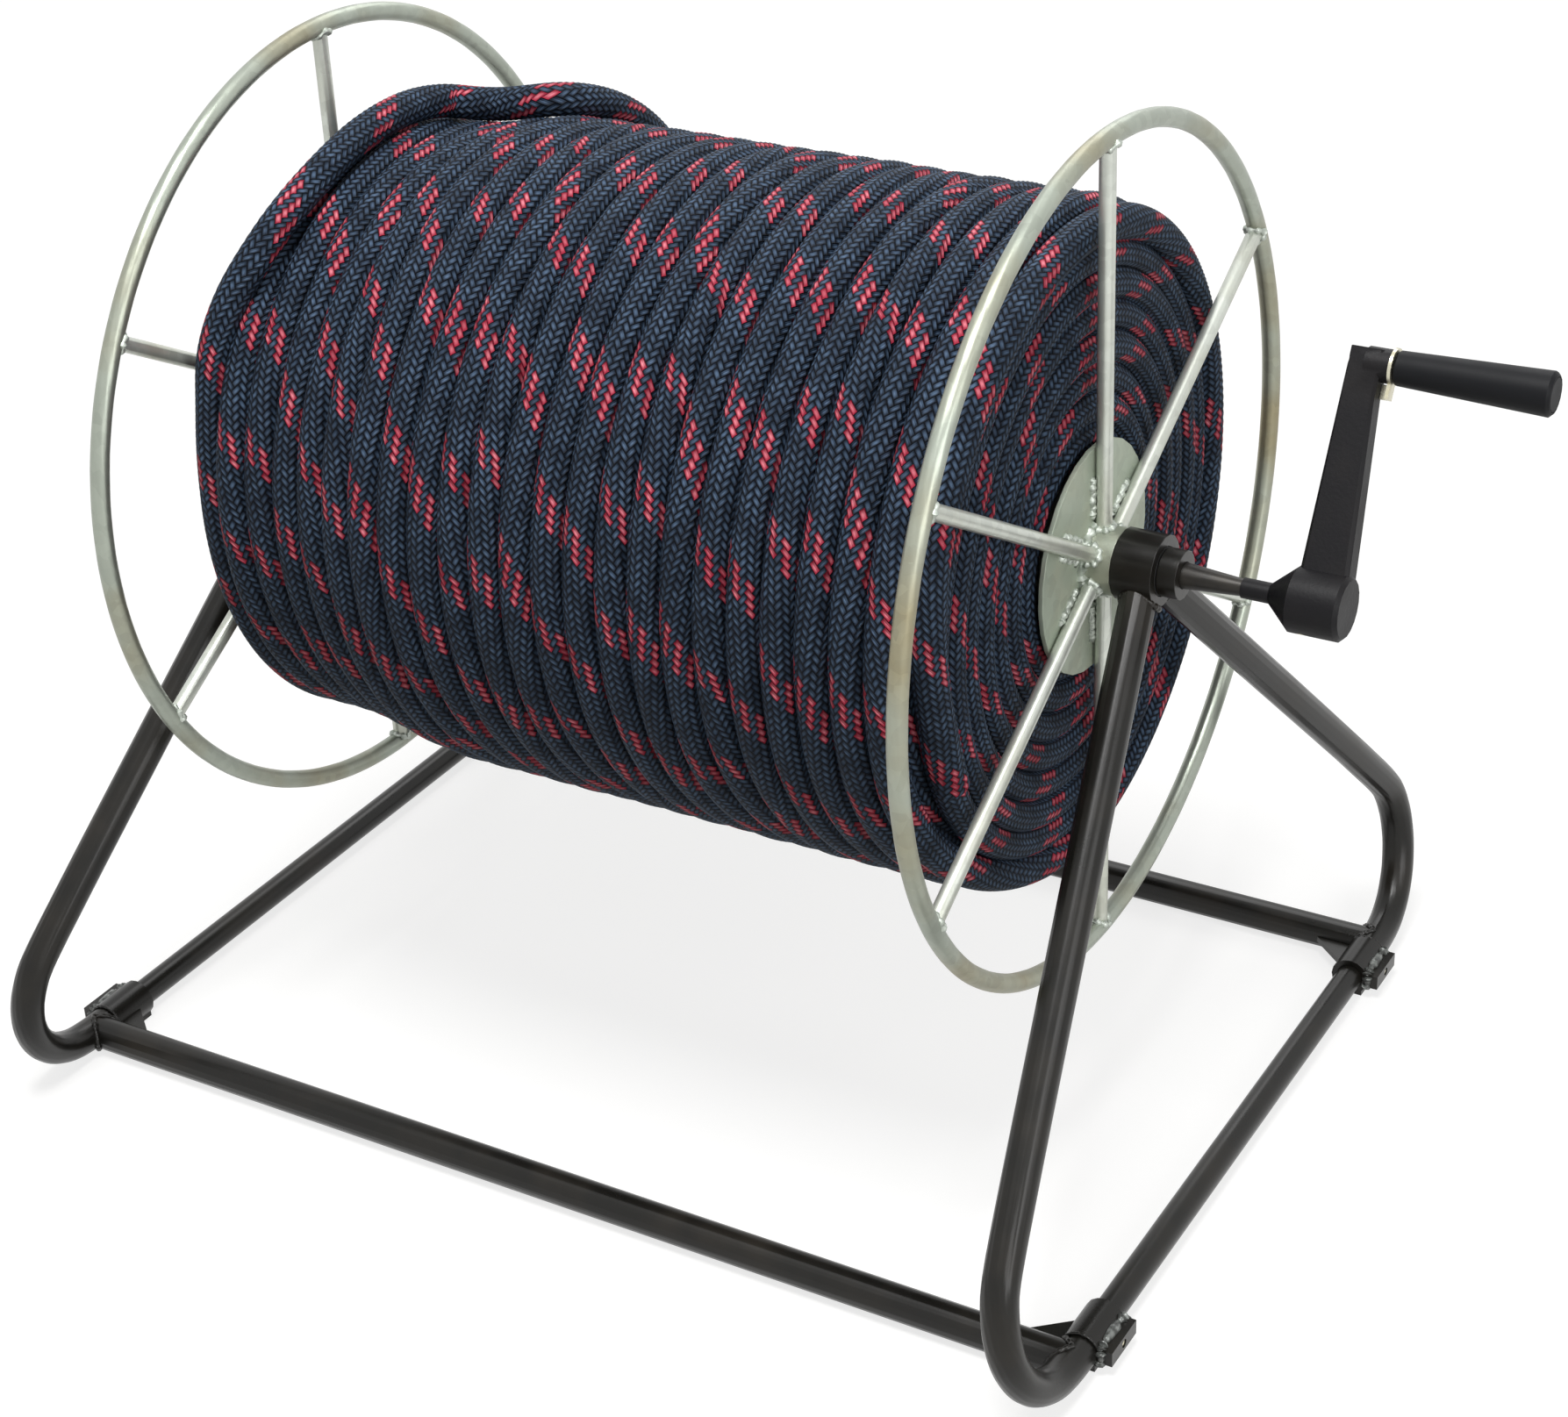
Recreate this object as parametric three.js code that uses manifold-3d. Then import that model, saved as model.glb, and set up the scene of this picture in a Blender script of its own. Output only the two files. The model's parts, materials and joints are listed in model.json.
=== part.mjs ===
// Rope winder: a tube stand carries a rope reel between two bearings, turned by a crank.
// Millimetres, +Z up, +X along the axle towards the crank. The origin lies on the floor, under the
// middle of the whole winder with its crank.
import * as THREE from 'three';
import { mergeVertices } from 'three/addons/utils/BufferGeometryUtils.js';
import Module from 'manifold-3d';

// Reel
const rimRadius = 260; // centreline of a flange rim
const rimRod = 12; // diameter of the rim's round bar
const spokeRod = 10; // diameter of a spoke
const spokeCount = 6;
const firstSpokeTurnShare = 1 / 12; // of a turn, from +Y towards +Z
const flangeSpacing = 547; // between the centre planes of the two flanges
const hubDiscDiameter = 144;
const hubDiscThickness = 3;
const ventHoleDiameter = 8;
const ventHoleRadius = 27; // from the axle to a vent hole's centre
const ventTurnShares = [0.2, 0.7]; // of a turn, for the vent holes of one disc
const drumDiameter = 89;
const drumWall = 2;
const hubSleeveDiameter = 42;
const hubSleeveInside = 14; // how far a hub sleeve reaches into the drum past its disc
const hubPinDiameter = 5;
const axleDiameter = 16;
const axleTail = 8; // how far the axle stands out past the left shaft collar
const axleNeckDiameter = 10.5; // at the crank's end of the axle's taper
const axleSpigotDiameter = 8; // the end that the crank is clamped on

// Rope
const ropeDiameter = 21;
const ropeTurnGap = 0.94; // between neighbouring turns
const ropeFlangeGap = 3; // between the first turn and the right spokes
const ropeFarGap = 7; // between the last turn and the left spokes
const ropeCoreGap = 0.4; // between the core and the nearest corner of the wound tube
const ropeLift = 23.2; // how far the loose turn's centreline lies above the outer layer's
const ropeDrop = 19; // how far the first turn's centreline starts below the outer layer's
const ropeShift = 125; // how far the loose turn crosses the pack towards the crank
const packRadius = 211; // outside of the wound layer
const leftFallDepth = 13; // how much thinner the pack is at its left end
const leftFallLength = 90;
const leftFallEnd = 51; // from the last turn to where the fall ends
const lastTurnDip = 9; // how much deeper the last turn lies before it turns back
const rightFallDepth = 3;
const rightFallLength = 21;

// Stand
const axleHeight = 390; // above the axis of the base rails
const bearingSpacing = 600; // between the middles of the two bearing housings
const sideRailSpacing = 742;
const crossRailSpacing = 489;
const footReach = 402; // from the axle to where the legs' straight runs would meet the base
const legTube = 22;
const legWall = 1.5;
const legBendRadius = 62;
const crossTube = 22;
const crossWall = 1.5;
const sideTube = 18;
const sideWall = 1.5;
const sideInsertion = 40; // how far a side rail slides into a leg's end
const housingDiameter = 44;
const housingLength = 26;
const bushDiameter = 30;
const collarDiameter = 30;
const collarWidth = 12;
const collarScrewDiameter = 6;

// Corner sockets, which join legs to side rails
const socketDiameter = 26;
const socketLength = 34;
const socketLip = 8; // length of the narrow bore that fits the side rail
const footPadWidth = 18;
const lugProud = 7; // how far the clamp lug stands out past the socket
const lugHeight = 10;
const gussetReach = 24;
const gussetThickness = 4;
const clampScrewDiameter = 5;
const clampScrewRecess = 0.8; // how far the screw's end lies inside the lug's face

// Crank
const crankStandOff = 105.5; // from the middle of the right bearing to the middle of the crank's tip
const crankRadius = 140;
const crankRestTurnShare = 1 / 6; // of a turn, from +Y towards +Z, at rest
const armRootThickness = 31; // along the axle
const armTipThickness = 20;
const armRootWidth = 18;
const armTipWidth = 16;
const armPastPin = 8;
const armChamfer = 2.5;
const bossDiameter = 40;
const bossStandIn = 0.5; // how far the boss stands out past the arm's inner face
const bossConeLength = 15.5;
const pinBossDiameter = 20;
const pinBossHeight = 4.8; // from the arm's outer face
const crankNeckDiameter = 12.5;
const crankNeckLength = 17;
const bossWall = 14; // metal left in front of the axle's end
const crankScrewDiameter = 8;
const gripLength = 92;
const gripRootDiameter = 20.5;
const gripEndDiameter = 26.5;
const gripCapThickness = 5;
const gripCapDiameter = 20;
const gripPinDiameter = 9;
const pinHeadDiameter = 15;
const pinHeadLength = 6;
const gripNutDiameter = 12.5; // the nut is low and round, and lies in a recess of the arm
const gripNutThickness = 3;
const washerDiameter = 22.6;
const washerThickness = 2;
const washerTabReach = 19; // from the pin's axis
const washerTabWidth = 9;

// Fits
const seat = 0.3; // between pieces that touch or are welded together
const running = 0.2; // radial, between the axle or the pin and what turns on it
const endFloat = 0.6; // between turning and standing faces
const cutOverrun = 5; // how far a cutting shape runs past what it cuts

// Facet counts
const roundSides = 18;
const smallSides = 12;
const rimSteps = 48;
const rimSides = 10;
const bendSteps = 7;
const tubeSides = 16;
const tubeBoreSides = 12;
const discSides = 29;
const coreSides = 23;
const coreFallSteps = 3;
const coreProbes = 8;
const ropeSides = 6;
const ropeStepsPerTurn = 24;

// Places that follow from the sizes
const TURN = 2 * Math.PI;
const railZ = socketDiameter / 2;
const axleZ = railZ + axleHeight;
const sideRailX = sideRailSpacing / 2;
const crossRailY = crossRailSpacing / 2;
const flangeX = flangeSpacing / 2;
const bearingX = bearingSpacing / 2;
const spokeInnerX = flangeX - spokeRod / 2;
const discOuterX = spokeInnerX - seat;
const discInnerX = discOuterX - hubDiscThickness;
const packEndX = discInnerX - seat;
const housingInnerX = bearingX - housingLength / 2;
const housingOuterX = bearingX + housingLength / 2;
const collarInnerX = housingOuterX + endFloat;
const collarOuterX = collarInnerX + collarWidth;
const crankX = bearingX + crankStandOff;
const armInnerX = crankX - armTipThickness / 2;
const bossOuterX = armInnerX + armRootThickness;
const coneX = armInnerX - bossStandIn - bossConeLength;
const crankNeckX = coneX - crankNeckLength;
const armTipOuterX = crankX + armTipThickness / 2;
const pinBossX = armTipOuterX + pinBossHeight;
const washerX = pinBossX + seat;
const gripX = washerX + washerThickness + endFloat;
const gripEndX = gripX + gripLength;
const socketNearY = crossRailY - crossTube / 2 - seat;
const socketFarY = socketNearY - socketLength;
const socketMiddleY = (socketNearY + socketFarY) / 2;
const legEndY = socketFarY + socketLip;
const standOuterX = sideRailX + socketDiameter / 2 + lugProud;
const middleX = (gripEndX - standOuterX) / 2; // middle of the whole winder from the reel's middle

// Materials
const metal = (color, roughness, metalness) =>
  () => new THREE.MeshStandardMaterial({ color, roughness, metalness });
const blackPaint = metal('#26241f', 0.35, 0.2);
const galvanised = metal('#b3b7aa', 0.5, 0.75);
const castBlack = metal('#232327', 0.45, 0.2);
const zincPlate = metal('#cbc6b0', 0.35, 0.9);
const steelBar = metal('#77787a', 0.4, 0.9);
const blackPlastic = metal('#1b1b1e', 0.55, 0);
const nylon = metal('#d6d1c0', 0.6, 0);
const rope = metal('#262d40', 0.9, 0);

const wasm = await Module();
wasm.setup();

// Solids: a geometry becomes a manifold to be joined or cut, and comes back as a geometry.
function bare(geometry) {
  const plain = geometry.clone();
  plain.deleteAttribute('normal');
  plain.deleteAttribute('uv');
  return mergeVertices(plain);
}

function toSolid(geometry) {
  const plain = bare(geometry);
  const vertProperties = new Float32Array(plain.attributes.position.array);
  const triVerts = new Uint32Array(plain.index.array);
  return new wasm.Manifold(new wasm.Mesh({ numProp: 3, vertProperties, triVerts }));
}

function toGeometry(solid) {
  const mesh = solid.getMesh();
  const geometry = new THREE.BufferGeometry();
  geometry.setAttribute('position', new THREE.BufferAttribute(mesh.vertProperties, 3));
  geometry.setIndex(new THREE.BufferAttribute(mesh.triVerts, 1));
  return geometry;
}

function join(first, ...others) {
  return toGeometry(others.reduce((solid, other) => solid.add(toSolid(other)), toSolid(first)));
}

function cut(body, ...tools) {
  return toGeometry(tools.reduce((solid, tool) => solid.subtract(toSolid(tool)), toSolid(body)));
}

// Shapes
function polygon(radius, sides, path = new THREE.Path()) {
  const points = [];
  for (let i = 0; i < sides; i += 1) {
    const angle = (TURN * i) / sides;
    points.push(new THREE.Vector2(radius * Math.cos(angle), radius * Math.sin(angle)));
  }
  return path.setFromPoints(points);
}

function annulus(outerRadius, innerRadius, outerSides, innerSides) {
  const shape = polygon(outerRadius, outerSides, new THREE.Shape());
  if (innerRadius > 0) shape.holes.push(polygon(innerRadius, innerSides));
  return shape;
}

// A ring or a disc round the X axis, from one X to another.
function ringX(outerRadius, innerRadius, x0, x1, sides = roundSides) {
  const shape = annulus(outerRadius, innerRadius, sides, sides);
  const geometry = new THREE.ExtrudeGeometry(shape, { depth: x1 - x0, bevelEnabled: false });
  return geometry.rotateY(TURN / 4).translate(x0, 0, 0);
}

// A round bar along Y, from one Y to another.
function barY(radius, y0, y1, sides = roundSides) {
  return new THREE.CylinderGeometry(radius, radius, y1 - y0, sides).translate(0, (y0 + y1) / 2, 0);
}

function box(x0, x1, y0, y1, z0, z1) {
  const geometry = new THREE.BoxGeometry(x1 - x0, y1 - y0, z1 - z0);
  return geometry.translate((x0 + x1) / 2, (y0 + y1) / 2, (z0 + z1) / 2);
}

// A curve through given stations. Its steps are the stations themselves.
class StationPath extends THREE.Curve {
  constructor(stations) {
    super();
    this.stations = stations;
  }

  getPoint(t) {
    const place = t * (this.stations.length - 1);
    const first = Math.min(Math.floor(place), this.stations.length - 2);
    return this.stations[first].clone().lerp(this.stations[first + 1], place - first);
  }

  getPointAt(u) {
    return this.getPoint(u);
  }

  getTangentAt(u) {
    const last = this.stations.length - 1;
    const i = Math.round(u * last);
    const tangent = new THREE.Vector3();
    const leg = (from, to) => this.stations[to].clone().sub(this.stations[from]).normalize();
    if (i > 0) tangent.add(leg(i - 1, i));
    if (i < last) tangent.add(leg(i, i + 1));
    return tangent.normalize();
  }
}

function sweep(shape, stations) {
  const extrudePath = new StationPath(stations);
  return new THREE.ExtrudeGeometry(shape, { steps: stations.length - 1, extrudePath });
}

function part(name, geometry, material) {
  const mesh = new THREE.Mesh(geometry, material());
  mesh.name = name;
  return mesh;
}

// Stand: a point of a leaning side frame, from its place across and up that frame's own plane.
const frameLean = Math.atan2(sideRailX - bearingX, axleHeight);
const frameHeight = Math.hypot(sideRailX - bearingX, axleHeight);

function framePoint(side, across, up) {
  const x = side * (sideRailX - up * Math.sin(frameLean));
  return new THREE.Vector3(x, across, railZ + up * Math.cos(frameLean));
}

// One leg, from inside its corner socket, round the foot bend and up to the bearing housing.
const legApexShare = 0.375; // of the housing's diameter, from the axle to the leg's last station

function legStations(side, end, start = legEndY) {
  const turn = Math.PI - Math.atan2(frameHeight, footReach);
  const bendStart = footReach - legBendRadius * Math.tan(turn / 2);
  const stations = [framePoint(side, end * start, 0)];
  for (let i = 0; i <= bendSteps; i += 1) {
    const angle = (turn * i) / bendSteps;
    const across = bendStart + legBendRadius * Math.sin(angle);
    const up = legBendRadius * (1 - Math.cos(angle));
    stations.push(framePoint(side, end * across, up));
  }
  const apex = housingDiameter * legApexShare;
  const length = Math.hypot(footReach, frameHeight);
  const across = (footReach * apex) / length;
  stations.push(framePoint(side, end * across, frameHeight * (1 - apex / length)));
  return stations;
}

function leg(side, end) {
  const shape = annulus(legTube / 2, legTube / 2 - legWall, tubeSides, tubeBoreSides);
  const tube = sweep(shape, legStations(side, end));
  const reach = housingLength / 2 + cutOverrun;
  const housing = ringX(housingDiameter / 2 + seat, 0, side * bearingX - reach, side * bearingX + reach);
  return cut(tube, housing.translate(0, 0, axleZ));
}

// The room that a leg takes in the pieces fitted round it, so that they follow its bend.
function legRoom(side, end) {
  const shape = polygon(legTube / 2 + seat, tubeSides, new THREE.Shape());
  return sweep(shape, legStations(side, end, legEndY - seat));
}

function sideRail(side) {
  const half = legEndY + sideInsertion;
  const shape = annulus(sideTube / 2, sideTube / 2 - sideWall, tubeSides, tubeBoreSides);
  const ends = [-half, half].map((y) => new THREE.Vector3(side * sideRailX, y, railZ));
  return sweep(shape, ends);
}

function crossRail(end) {
  const shape = annulus(crossTube / 2, crossTube / 2 - crossWall, tubeSides, tubeBoreSides);
  const ends = [-sideRailX, sideRailX].map((x) => new THREE.Vector3(x, end * crossRailY, railZ));
  return cut(sweep(shape, ends), legRoom(-1, end), legRoom(1, end));
}

// A corner socket grips the leg's end and the side rail in it. It is made for the corner at +X, +Y.
function cornerSocketBody() {
  const shell = barY(socketDiameter / 2, socketFarY, socketNearY, tubeSides);
  const foot = box(-footPadWidth / 2, footPadWidth / 2, socketFarY, socketNearY, -socketDiameter / 2, 0);
  const lugX = socketDiameter / 2 + lugProud;
  const lug = box(0, lugX, socketFarY, socketNearY, -lugHeight / 2, lugHeight / 2);
  const inside = -socketDiameter / 2 + gussetThickness;
  const outline = new THREE.Shape([
    new THREE.Vector2(inside, socketNearY),
    new THREE.Vector2(-socketDiameter / 2 - gussetReach, socketNearY),
    new THREE.Vector2(inside, socketNearY - gussetReach),
  ]);
  const gusset = new THREE.ExtrudeGeometry(outline, { depth: gussetThickness, bevelEnabled: false });
  return join(shell, foot, lug, gusset.translate(0, 0, -gussetThickness / 2));
}

function cornerSocket(side, end) {
  const step = legEndY - seat;
  const wideBore = legRoom(1, 1).translate(-sideRailX, 0, -railZ);
  const narrowBore = barY(sideTube / 2 + seat, socketFarY - cutOverrun, step + cutOverrun, tubeSides);
  const screwHole = clampScrewHole();
  const socket = cut(cornerSocketBody(), wideBore, narrowBore, screwHole);
  const turned = side * end > 0 ? socket : toGeometry(toSolid(socket).mirror([1, 0, 0]));
  if (end < 0) turned.rotateZ(TURN / 2);
  return turned.translate(side * sideRailX, 0, railZ);
}

function clampScrewHole() {
  const tip = legTube / 2;
  const outer = socketDiameter / 2 + lugProud + cutOverrun;
  return ringX(clampScrewDiameter / 2 + seat, 0, tip, outer, smallSides).translate(0, socketMiddleY, 0);
}

// A set screw along +X with a hexagon socket in its outer end.
function setScrewX(diameter, x0, x1) {
  const shank = ringX(diameter / 2, 0, x0, x1, smallSides);
  const socketDepth = Math.min(diameter / 2, (x1 - x0) / 2);
  const socket = ringX(diameter / 4, 0, x1 - socketDepth, x1 + cutOverrun, ropeSides);
  return cut(shank, socket);
}

function clampScrew(side, end) {
  const outer = socketDiameter / 2 + lugProud - clampScrewRecess;
  const screw = setScrewX(clampScrewDiameter, legTube / 2 + seat * 2, outer);
  if (side < 0) screw.rotateZ(TURN / 2);
  return screw.translate(side * sideRailX, end * socketMiddleY, railZ);
}

function bearingHousing(side) {
  const middle = side * bearingX;
  const half = housingLength / 2;
  return ringX(housingDiameter / 2, bushDiameter / 2 + seat, middle - half, middle + half)
    .translate(0, 0, axleZ);
}

function bearingBush(side) {
  const middle = side * bearingX;
  const half = housingLength / 2;
  return ringX(bushDiameter / 2, axleDiameter / 2 + running, middle - half, middle + half)
    .translate(0, 0, axleZ);
}

function makeStand() {
  const stand = new THREE.Group();
  const sides = [['left', -1], ['right', 1]];
  const ends = [['front', -1], ['back', 1]];
  for (const [sideName, side] of sides) {
    stand.add(part(`side_rail_${sideName}`, sideRail(side), blackPaint));
    stand.add(part(`bearing_housing_${sideName}`, bearingHousing(side), blackPaint));
    stand.add(part(`bearing_bush_${sideName}`, bearingBush(side), nylon));
    for (const [endName, end] of ends) {
      const corner = `${endName}_${sideName}`;
      stand.add(part(`leg_${corner}`, leg(side, end), blackPaint));
      stand.add(part(`corner_socket_${corner}`, cornerSocket(side, end), blackPaint));
      stand.add(part(`clamp_screw_${corner}`, clampScrew(side, end), zincPlate));
    }
  }
  for (const [endName, end] of ends) {
    stand.add(part(`cross_rail_${endName}`, crossRail(end), blackPaint));
  }
  return stand;
}

// Reel: everything in it is placed from the middle of the axle.
function crossPinHole(diameter, x) {
  return barY(diameter / 2 + seat, -hubSleeveDiameter, hubSleeveDiameter, smallSides).translate(x, 0, 0);
}

const hubPinX = discInnerX - hubSleeveInside / 2;

// A solid of revolution round the X axis, from [x, radius] pairs that start and end on the axis.
function turnedX(profile, sides = roundSides) {
  const outline = profile.map(([x, radius]) => new THREE.Vector2(radius, x));
  return new THREE.LatheGeometry(outline, sides).rotateZ(-TURN / 4);
}

function axle() {
  const left = -(collarOuterX + axleTail);
  const spigotEnd = bossOuterX - bossWall;
  const bar = turnedX([
    [left, 0],
    [left, axleDiameter / 2],
    [collarOuterX, axleDiameter / 2],
    [crankNeckX - seat, axleNeckDiameter / 2],
    [crankNeckX - seat, axleSpigotDiameter / 2],
    [spigotEnd, axleSpigotDiameter / 2],
    [spigotEnd, 0],
  ]);
  return cut(bar, crossPinHole(hubPinDiameter, -hubPinX), crossPinHole(hubPinDiameter, hubPinX));
}

function hubSleeve(side) {
  const inner = discInnerX - hubSleeveInside;
  const outer = housingInnerX - endFloat;
  const sleeve = ringX(hubSleeveDiameter / 2, axleDiameter / 2 + running, inner, outer);
  const drilled = cut(sleeve, crossPinHole(hubPinDiameter, hubPinX));
  return side > 0 ? drilled : drilled.rotateZ(TURN / 2);
}

function hubPin(side) {
  const half = hubSleeveDiameter / 2 - seat;
  return barY(hubPinDiameter / 2, -half, half, smallSides).translate(side * hubPinX, 0, 0);
}

function hubDisc(side) {
  const shape = annulus(hubDiscDiameter / 2, hubSleeveDiameter / 2 + seat, discSides, roundSides);
  for (const share of ventTurnShares) {
    const place = new THREE.Vector2(ventHoleRadius, 0).rotateAround(new THREE.Vector2(), TURN * share);
    const hole = polygon(ventHoleDiameter / 2, smallSides).getPoints().map((p) => p.add(place));
    shape.holes.push(new THREE.Path(hole));
  }
  const disc = new THREE.ExtrudeGeometry(shape, { depth: hubDiscThickness, bevelEnabled: false });
  disc.rotateY(TURN / 4).translate(discInnerX, 0, 0);
  return side > 0 ? disc : disc.rotateZ(TURN / 2);
}

function rim(side) {
  const ring = new THREE.TorusGeometry(rimRadius, rimRod / 2, rimSides, rimSteps);
  return ring.rotateY(TURN / 4).translate(side * flangeX, 0, 0);
}

// A spoke is coped to the rim's bar at one end and to the hub sleeve at the other.
function spoke(side, index) {
  const bar = barY(spokeRod / 2, 0, rimRadius, smallSides);
  const hubRoom = (hubSleeveDiameter / 2 + seat) / Math.cos(TURN / 2 / roundSides); // its flats clear it
  const hub = ringX(hubRoom, 0, -spokeRod, spokeRod);
  const rimBar = new THREE.TorusGeometry(rimRadius, rimRod / 2 + seat, rimSides, rimSteps);
  const coped = cut(bar, hub, rimBar.rotateY(TURN / 4));
  const turn = TURN * (firstSpokeTurnShare + index / spokeCount);
  return coped.rotateX(turn).translate(side * flangeX, 0, 0);
}

function drumTube() {
  return ringX(drumDiameter / 2, drumDiameter / 2 - drumWall, -packEndX, packEndX);
}

function shaftCollar(side) {
  const collar = ringX(collarDiameter / 2, axleDiameter / 2 + running, collarInnerX, collarOuterX);
  const middle = (collarInnerX + collarOuterX) / 2;
  const hole = barY(collarScrewDiameter / 2 + seat, 0, collarDiameter, smallSides);
  const drilled = cut(collar, hole.translate(middle, 0, 0));
  return side > 0 ? drilled : drilled.rotateZ(TURN / 2);
}

function collarScrew(side) {
  const middle = (collarInnerX + collarOuterX) / 2;
  const shank = setScrewX(collarScrewDiameter, axleDiameter / 2 + seat, collarDiameter / 2 - seat);
  shank.rotateZ(TURN / 4).translate(middle, 0, 0);
  return side > 0 ? shank : shank.rotateZ(TURN / 2);
}

// Rope: the outer layer is one tube. It rises out of the layer below at the crank side, winds to the
// far flange, and its last part lies loose over the pack.
const layerRadius = packRadius - ropeDiameter / 2;
const ropePitch = ropeDiameter + ropeTurnGap;
const windingStart = spokeInnerX - ropeFlangeGap - ropeDiameter / 2;
const windingEnd = -(spokeInnerX - ropeFarGap - ropeDiameter / 2);
const layerTurns = (windingStart - windingEnd) / ropePitch;
const riseTurns = 0.125; // the first part, which rises onto the layer
const stepOverShare = 0.2; // of a turn, in which the first turns step over by one place
const looseTurns = 0.439; // how far the last part reaches round the pack
const looseFromTurn = 175 / 360; // where the layer ends, from +Y towards +Z
const looseStepsPerPlace = 2;
const dipTurns = 0.2; // how far round the pack the last turn takes to reach its dip
const dipFadeShare = 0.3; // of the loose part, where it has left the dip

// Places of the loose part: how far round it is, how far across the pack, and how far up.
const loosePlaceShares = [
  [0, 0, 0],
  [0.095, -0.008, 0.12],
  [0.17, -0.008, 0.5],
  [0.234, 0.06, 0.86],
  [0.31, 0.17, 1],
  [0.405, 0.235, 1],
  [0.5, 0.245, 1],
  [0.576, 0.25, 1],
  [0.614, 0.28, 1],
  [0.636, 0.41, 1],
  [0.646, 0.55, 1],
  [0.646, 0.73, 1],
  [0.652, 0.87, 1],
  [0.677, 0.94, 1],
  [0.715, 0.98, 1],
  [0.766, 1, 1],
  [0.84, 1, 1],
  [0.92, 1, 1],
  [1, 1, 1],
];

function smooth(value) {
  const t = Math.min(Math.max(value, 0), 1);
  return t * t * (3 - 2 * t);
}

// The pack is thinner at its ends.
function layerRadiusAt(x) {
  const leftFall = smooth((windingEnd + leftFallEnd + leftFallLength - x) / leftFallLength);
  const rightFall = smooth((x + rightFallLength - windingStart) / rightFallLength);
  return layerRadius - leftFallDepth * leftFall - rightFallDepth * rightFall;
}

// The first turns lie square and step over. Further on, the turns run more and more as a helix.
function layerX(turns) {
  const whole = Math.floor(turns);
  const stepped = smooth((turns - whole - 1 + stepOverShare) / stepOverShare);
  const helixShare = Math.min(turns / layerTurns, 1);
  const along = whole + stepped + (turns - whole - stepped) * helixShare;
  return windingStart - ropePitch * along;
}

function onPack(turns, x, offset) {
  const angle = TURN * (looseFromTurn + layerTurns - turns);
  const radius = layerRadiusAt(x) + offset;
  return new THREE.Vector3(x, radius * Math.cos(angle), radius * Math.sin(angle));
}

function ropeRoute() {
  const route = [];
  const riseSteps = Math.round(riseTurns * ropeStepsPerTurn * 2);
  const layerSteps = Math.round((layerTurns - riseTurns) * ropeStepsPerTurn);
  for (let i = 0; i < riseSteps; i += 1) {
    const turns = (riseTurns * i) / riseSteps;
    const drop = ropeDrop * (1 - smooth(i / riseSteps));
    route.push(onPack(turns, layerX(turns), -drop));
  }
  for (let i = 0; i < layerSteps; i += 1) {
    const turns = riseTurns + ((layerTurns - riseTurns) * i) / layerSteps;
    const dip = lastTurnDip * smooth((turns - layerTurns + dipTurns) / dipTurns);
    route.push(onPack(turns, layerX(turns), -dip));
  }
  const places = loosePlaceShares.map(([around, across, up]) => new THREE.Vector3(around, across, up));
  const loose = new THREE.CatmullRomCurve3(places);
  for (const place of loose.getPoints((places.length - 1) * looseStepsPerPlace)) {
    const x = windingEnd + ropeShift * place.y;
    const dip = lastTurnDip * (1 - smooth(place.x / dipFadeShare));
    route.push(onPack(layerTurns + looseTurns * place.x, x, ropeLift * place.z - dip));
  }
  return route;
}

function beyond(end, next, length) {
  return end.clone().add(end.clone().sub(next).setLength(length));
}

// Both ends run on straight for one rope diameter.
function withStraightEnds(route) {
  const last = route.length - 1;
  const first = beyond(route[0], route[1], ropeDiameter);
  return [first, ...route, beyond(route[last], route[last - 1], ropeDiameter)];
}

const ropeStations = withStraightEnds(ropeRoute());

// The least distance of the tube's surface to another stretch of itself, on points of its centreline.
function leastRopeGap() {
  const pointsPerStation = 4;
  const path = new StationPath(ropeStations);
  const count = ropeStations.length * pointsPerStation;
  const points = [];
  for (let i = 0; i <= count; i += 1) points.push(path.getPoint(i / count));
  const apart = Math.round((ropeStepsPerTurn * pointsPerStation) / 2);
  let least = Infinity;
  for (let i = 0; i < points.length; i += 1) {
    for (let j = i + apart; j < points.length; j += 1) {
      least = Math.min(least, points[i].distanceTo(points[j]));
    }
  }
  return least - ropeDiameter;
}

console.log(`rope winding: least gap to itself ${leastRopeGap().toFixed(2)} mm`);

function ropeWinding() {
  return sweep(polygon(ropeDiameter / 2, ropeSides, new THREE.Shape()), ropeStations);
}

// The core's radius at a place, so that the wound tube clears it.
function coreRadiusAt(x) {
  const reach = ropeDiameter / 2 + ropeCoreGap;
  const dip = layerRadius * (1 - Math.cos(TURN / ropeStepsPerTurn / 2));
  let radius = layerRadius;
  for (let i = -coreProbes; i <= coreProbes; i += 1) {
    const aside = (reach * i) / coreProbes;
    const depth = Math.sqrt(Math.max(reach * reach - aside * aside, 0));
    radius = Math.min(radius, layerRadiusAt(x + aside) - depth);
  }
  return radius - dip;
}

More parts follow.
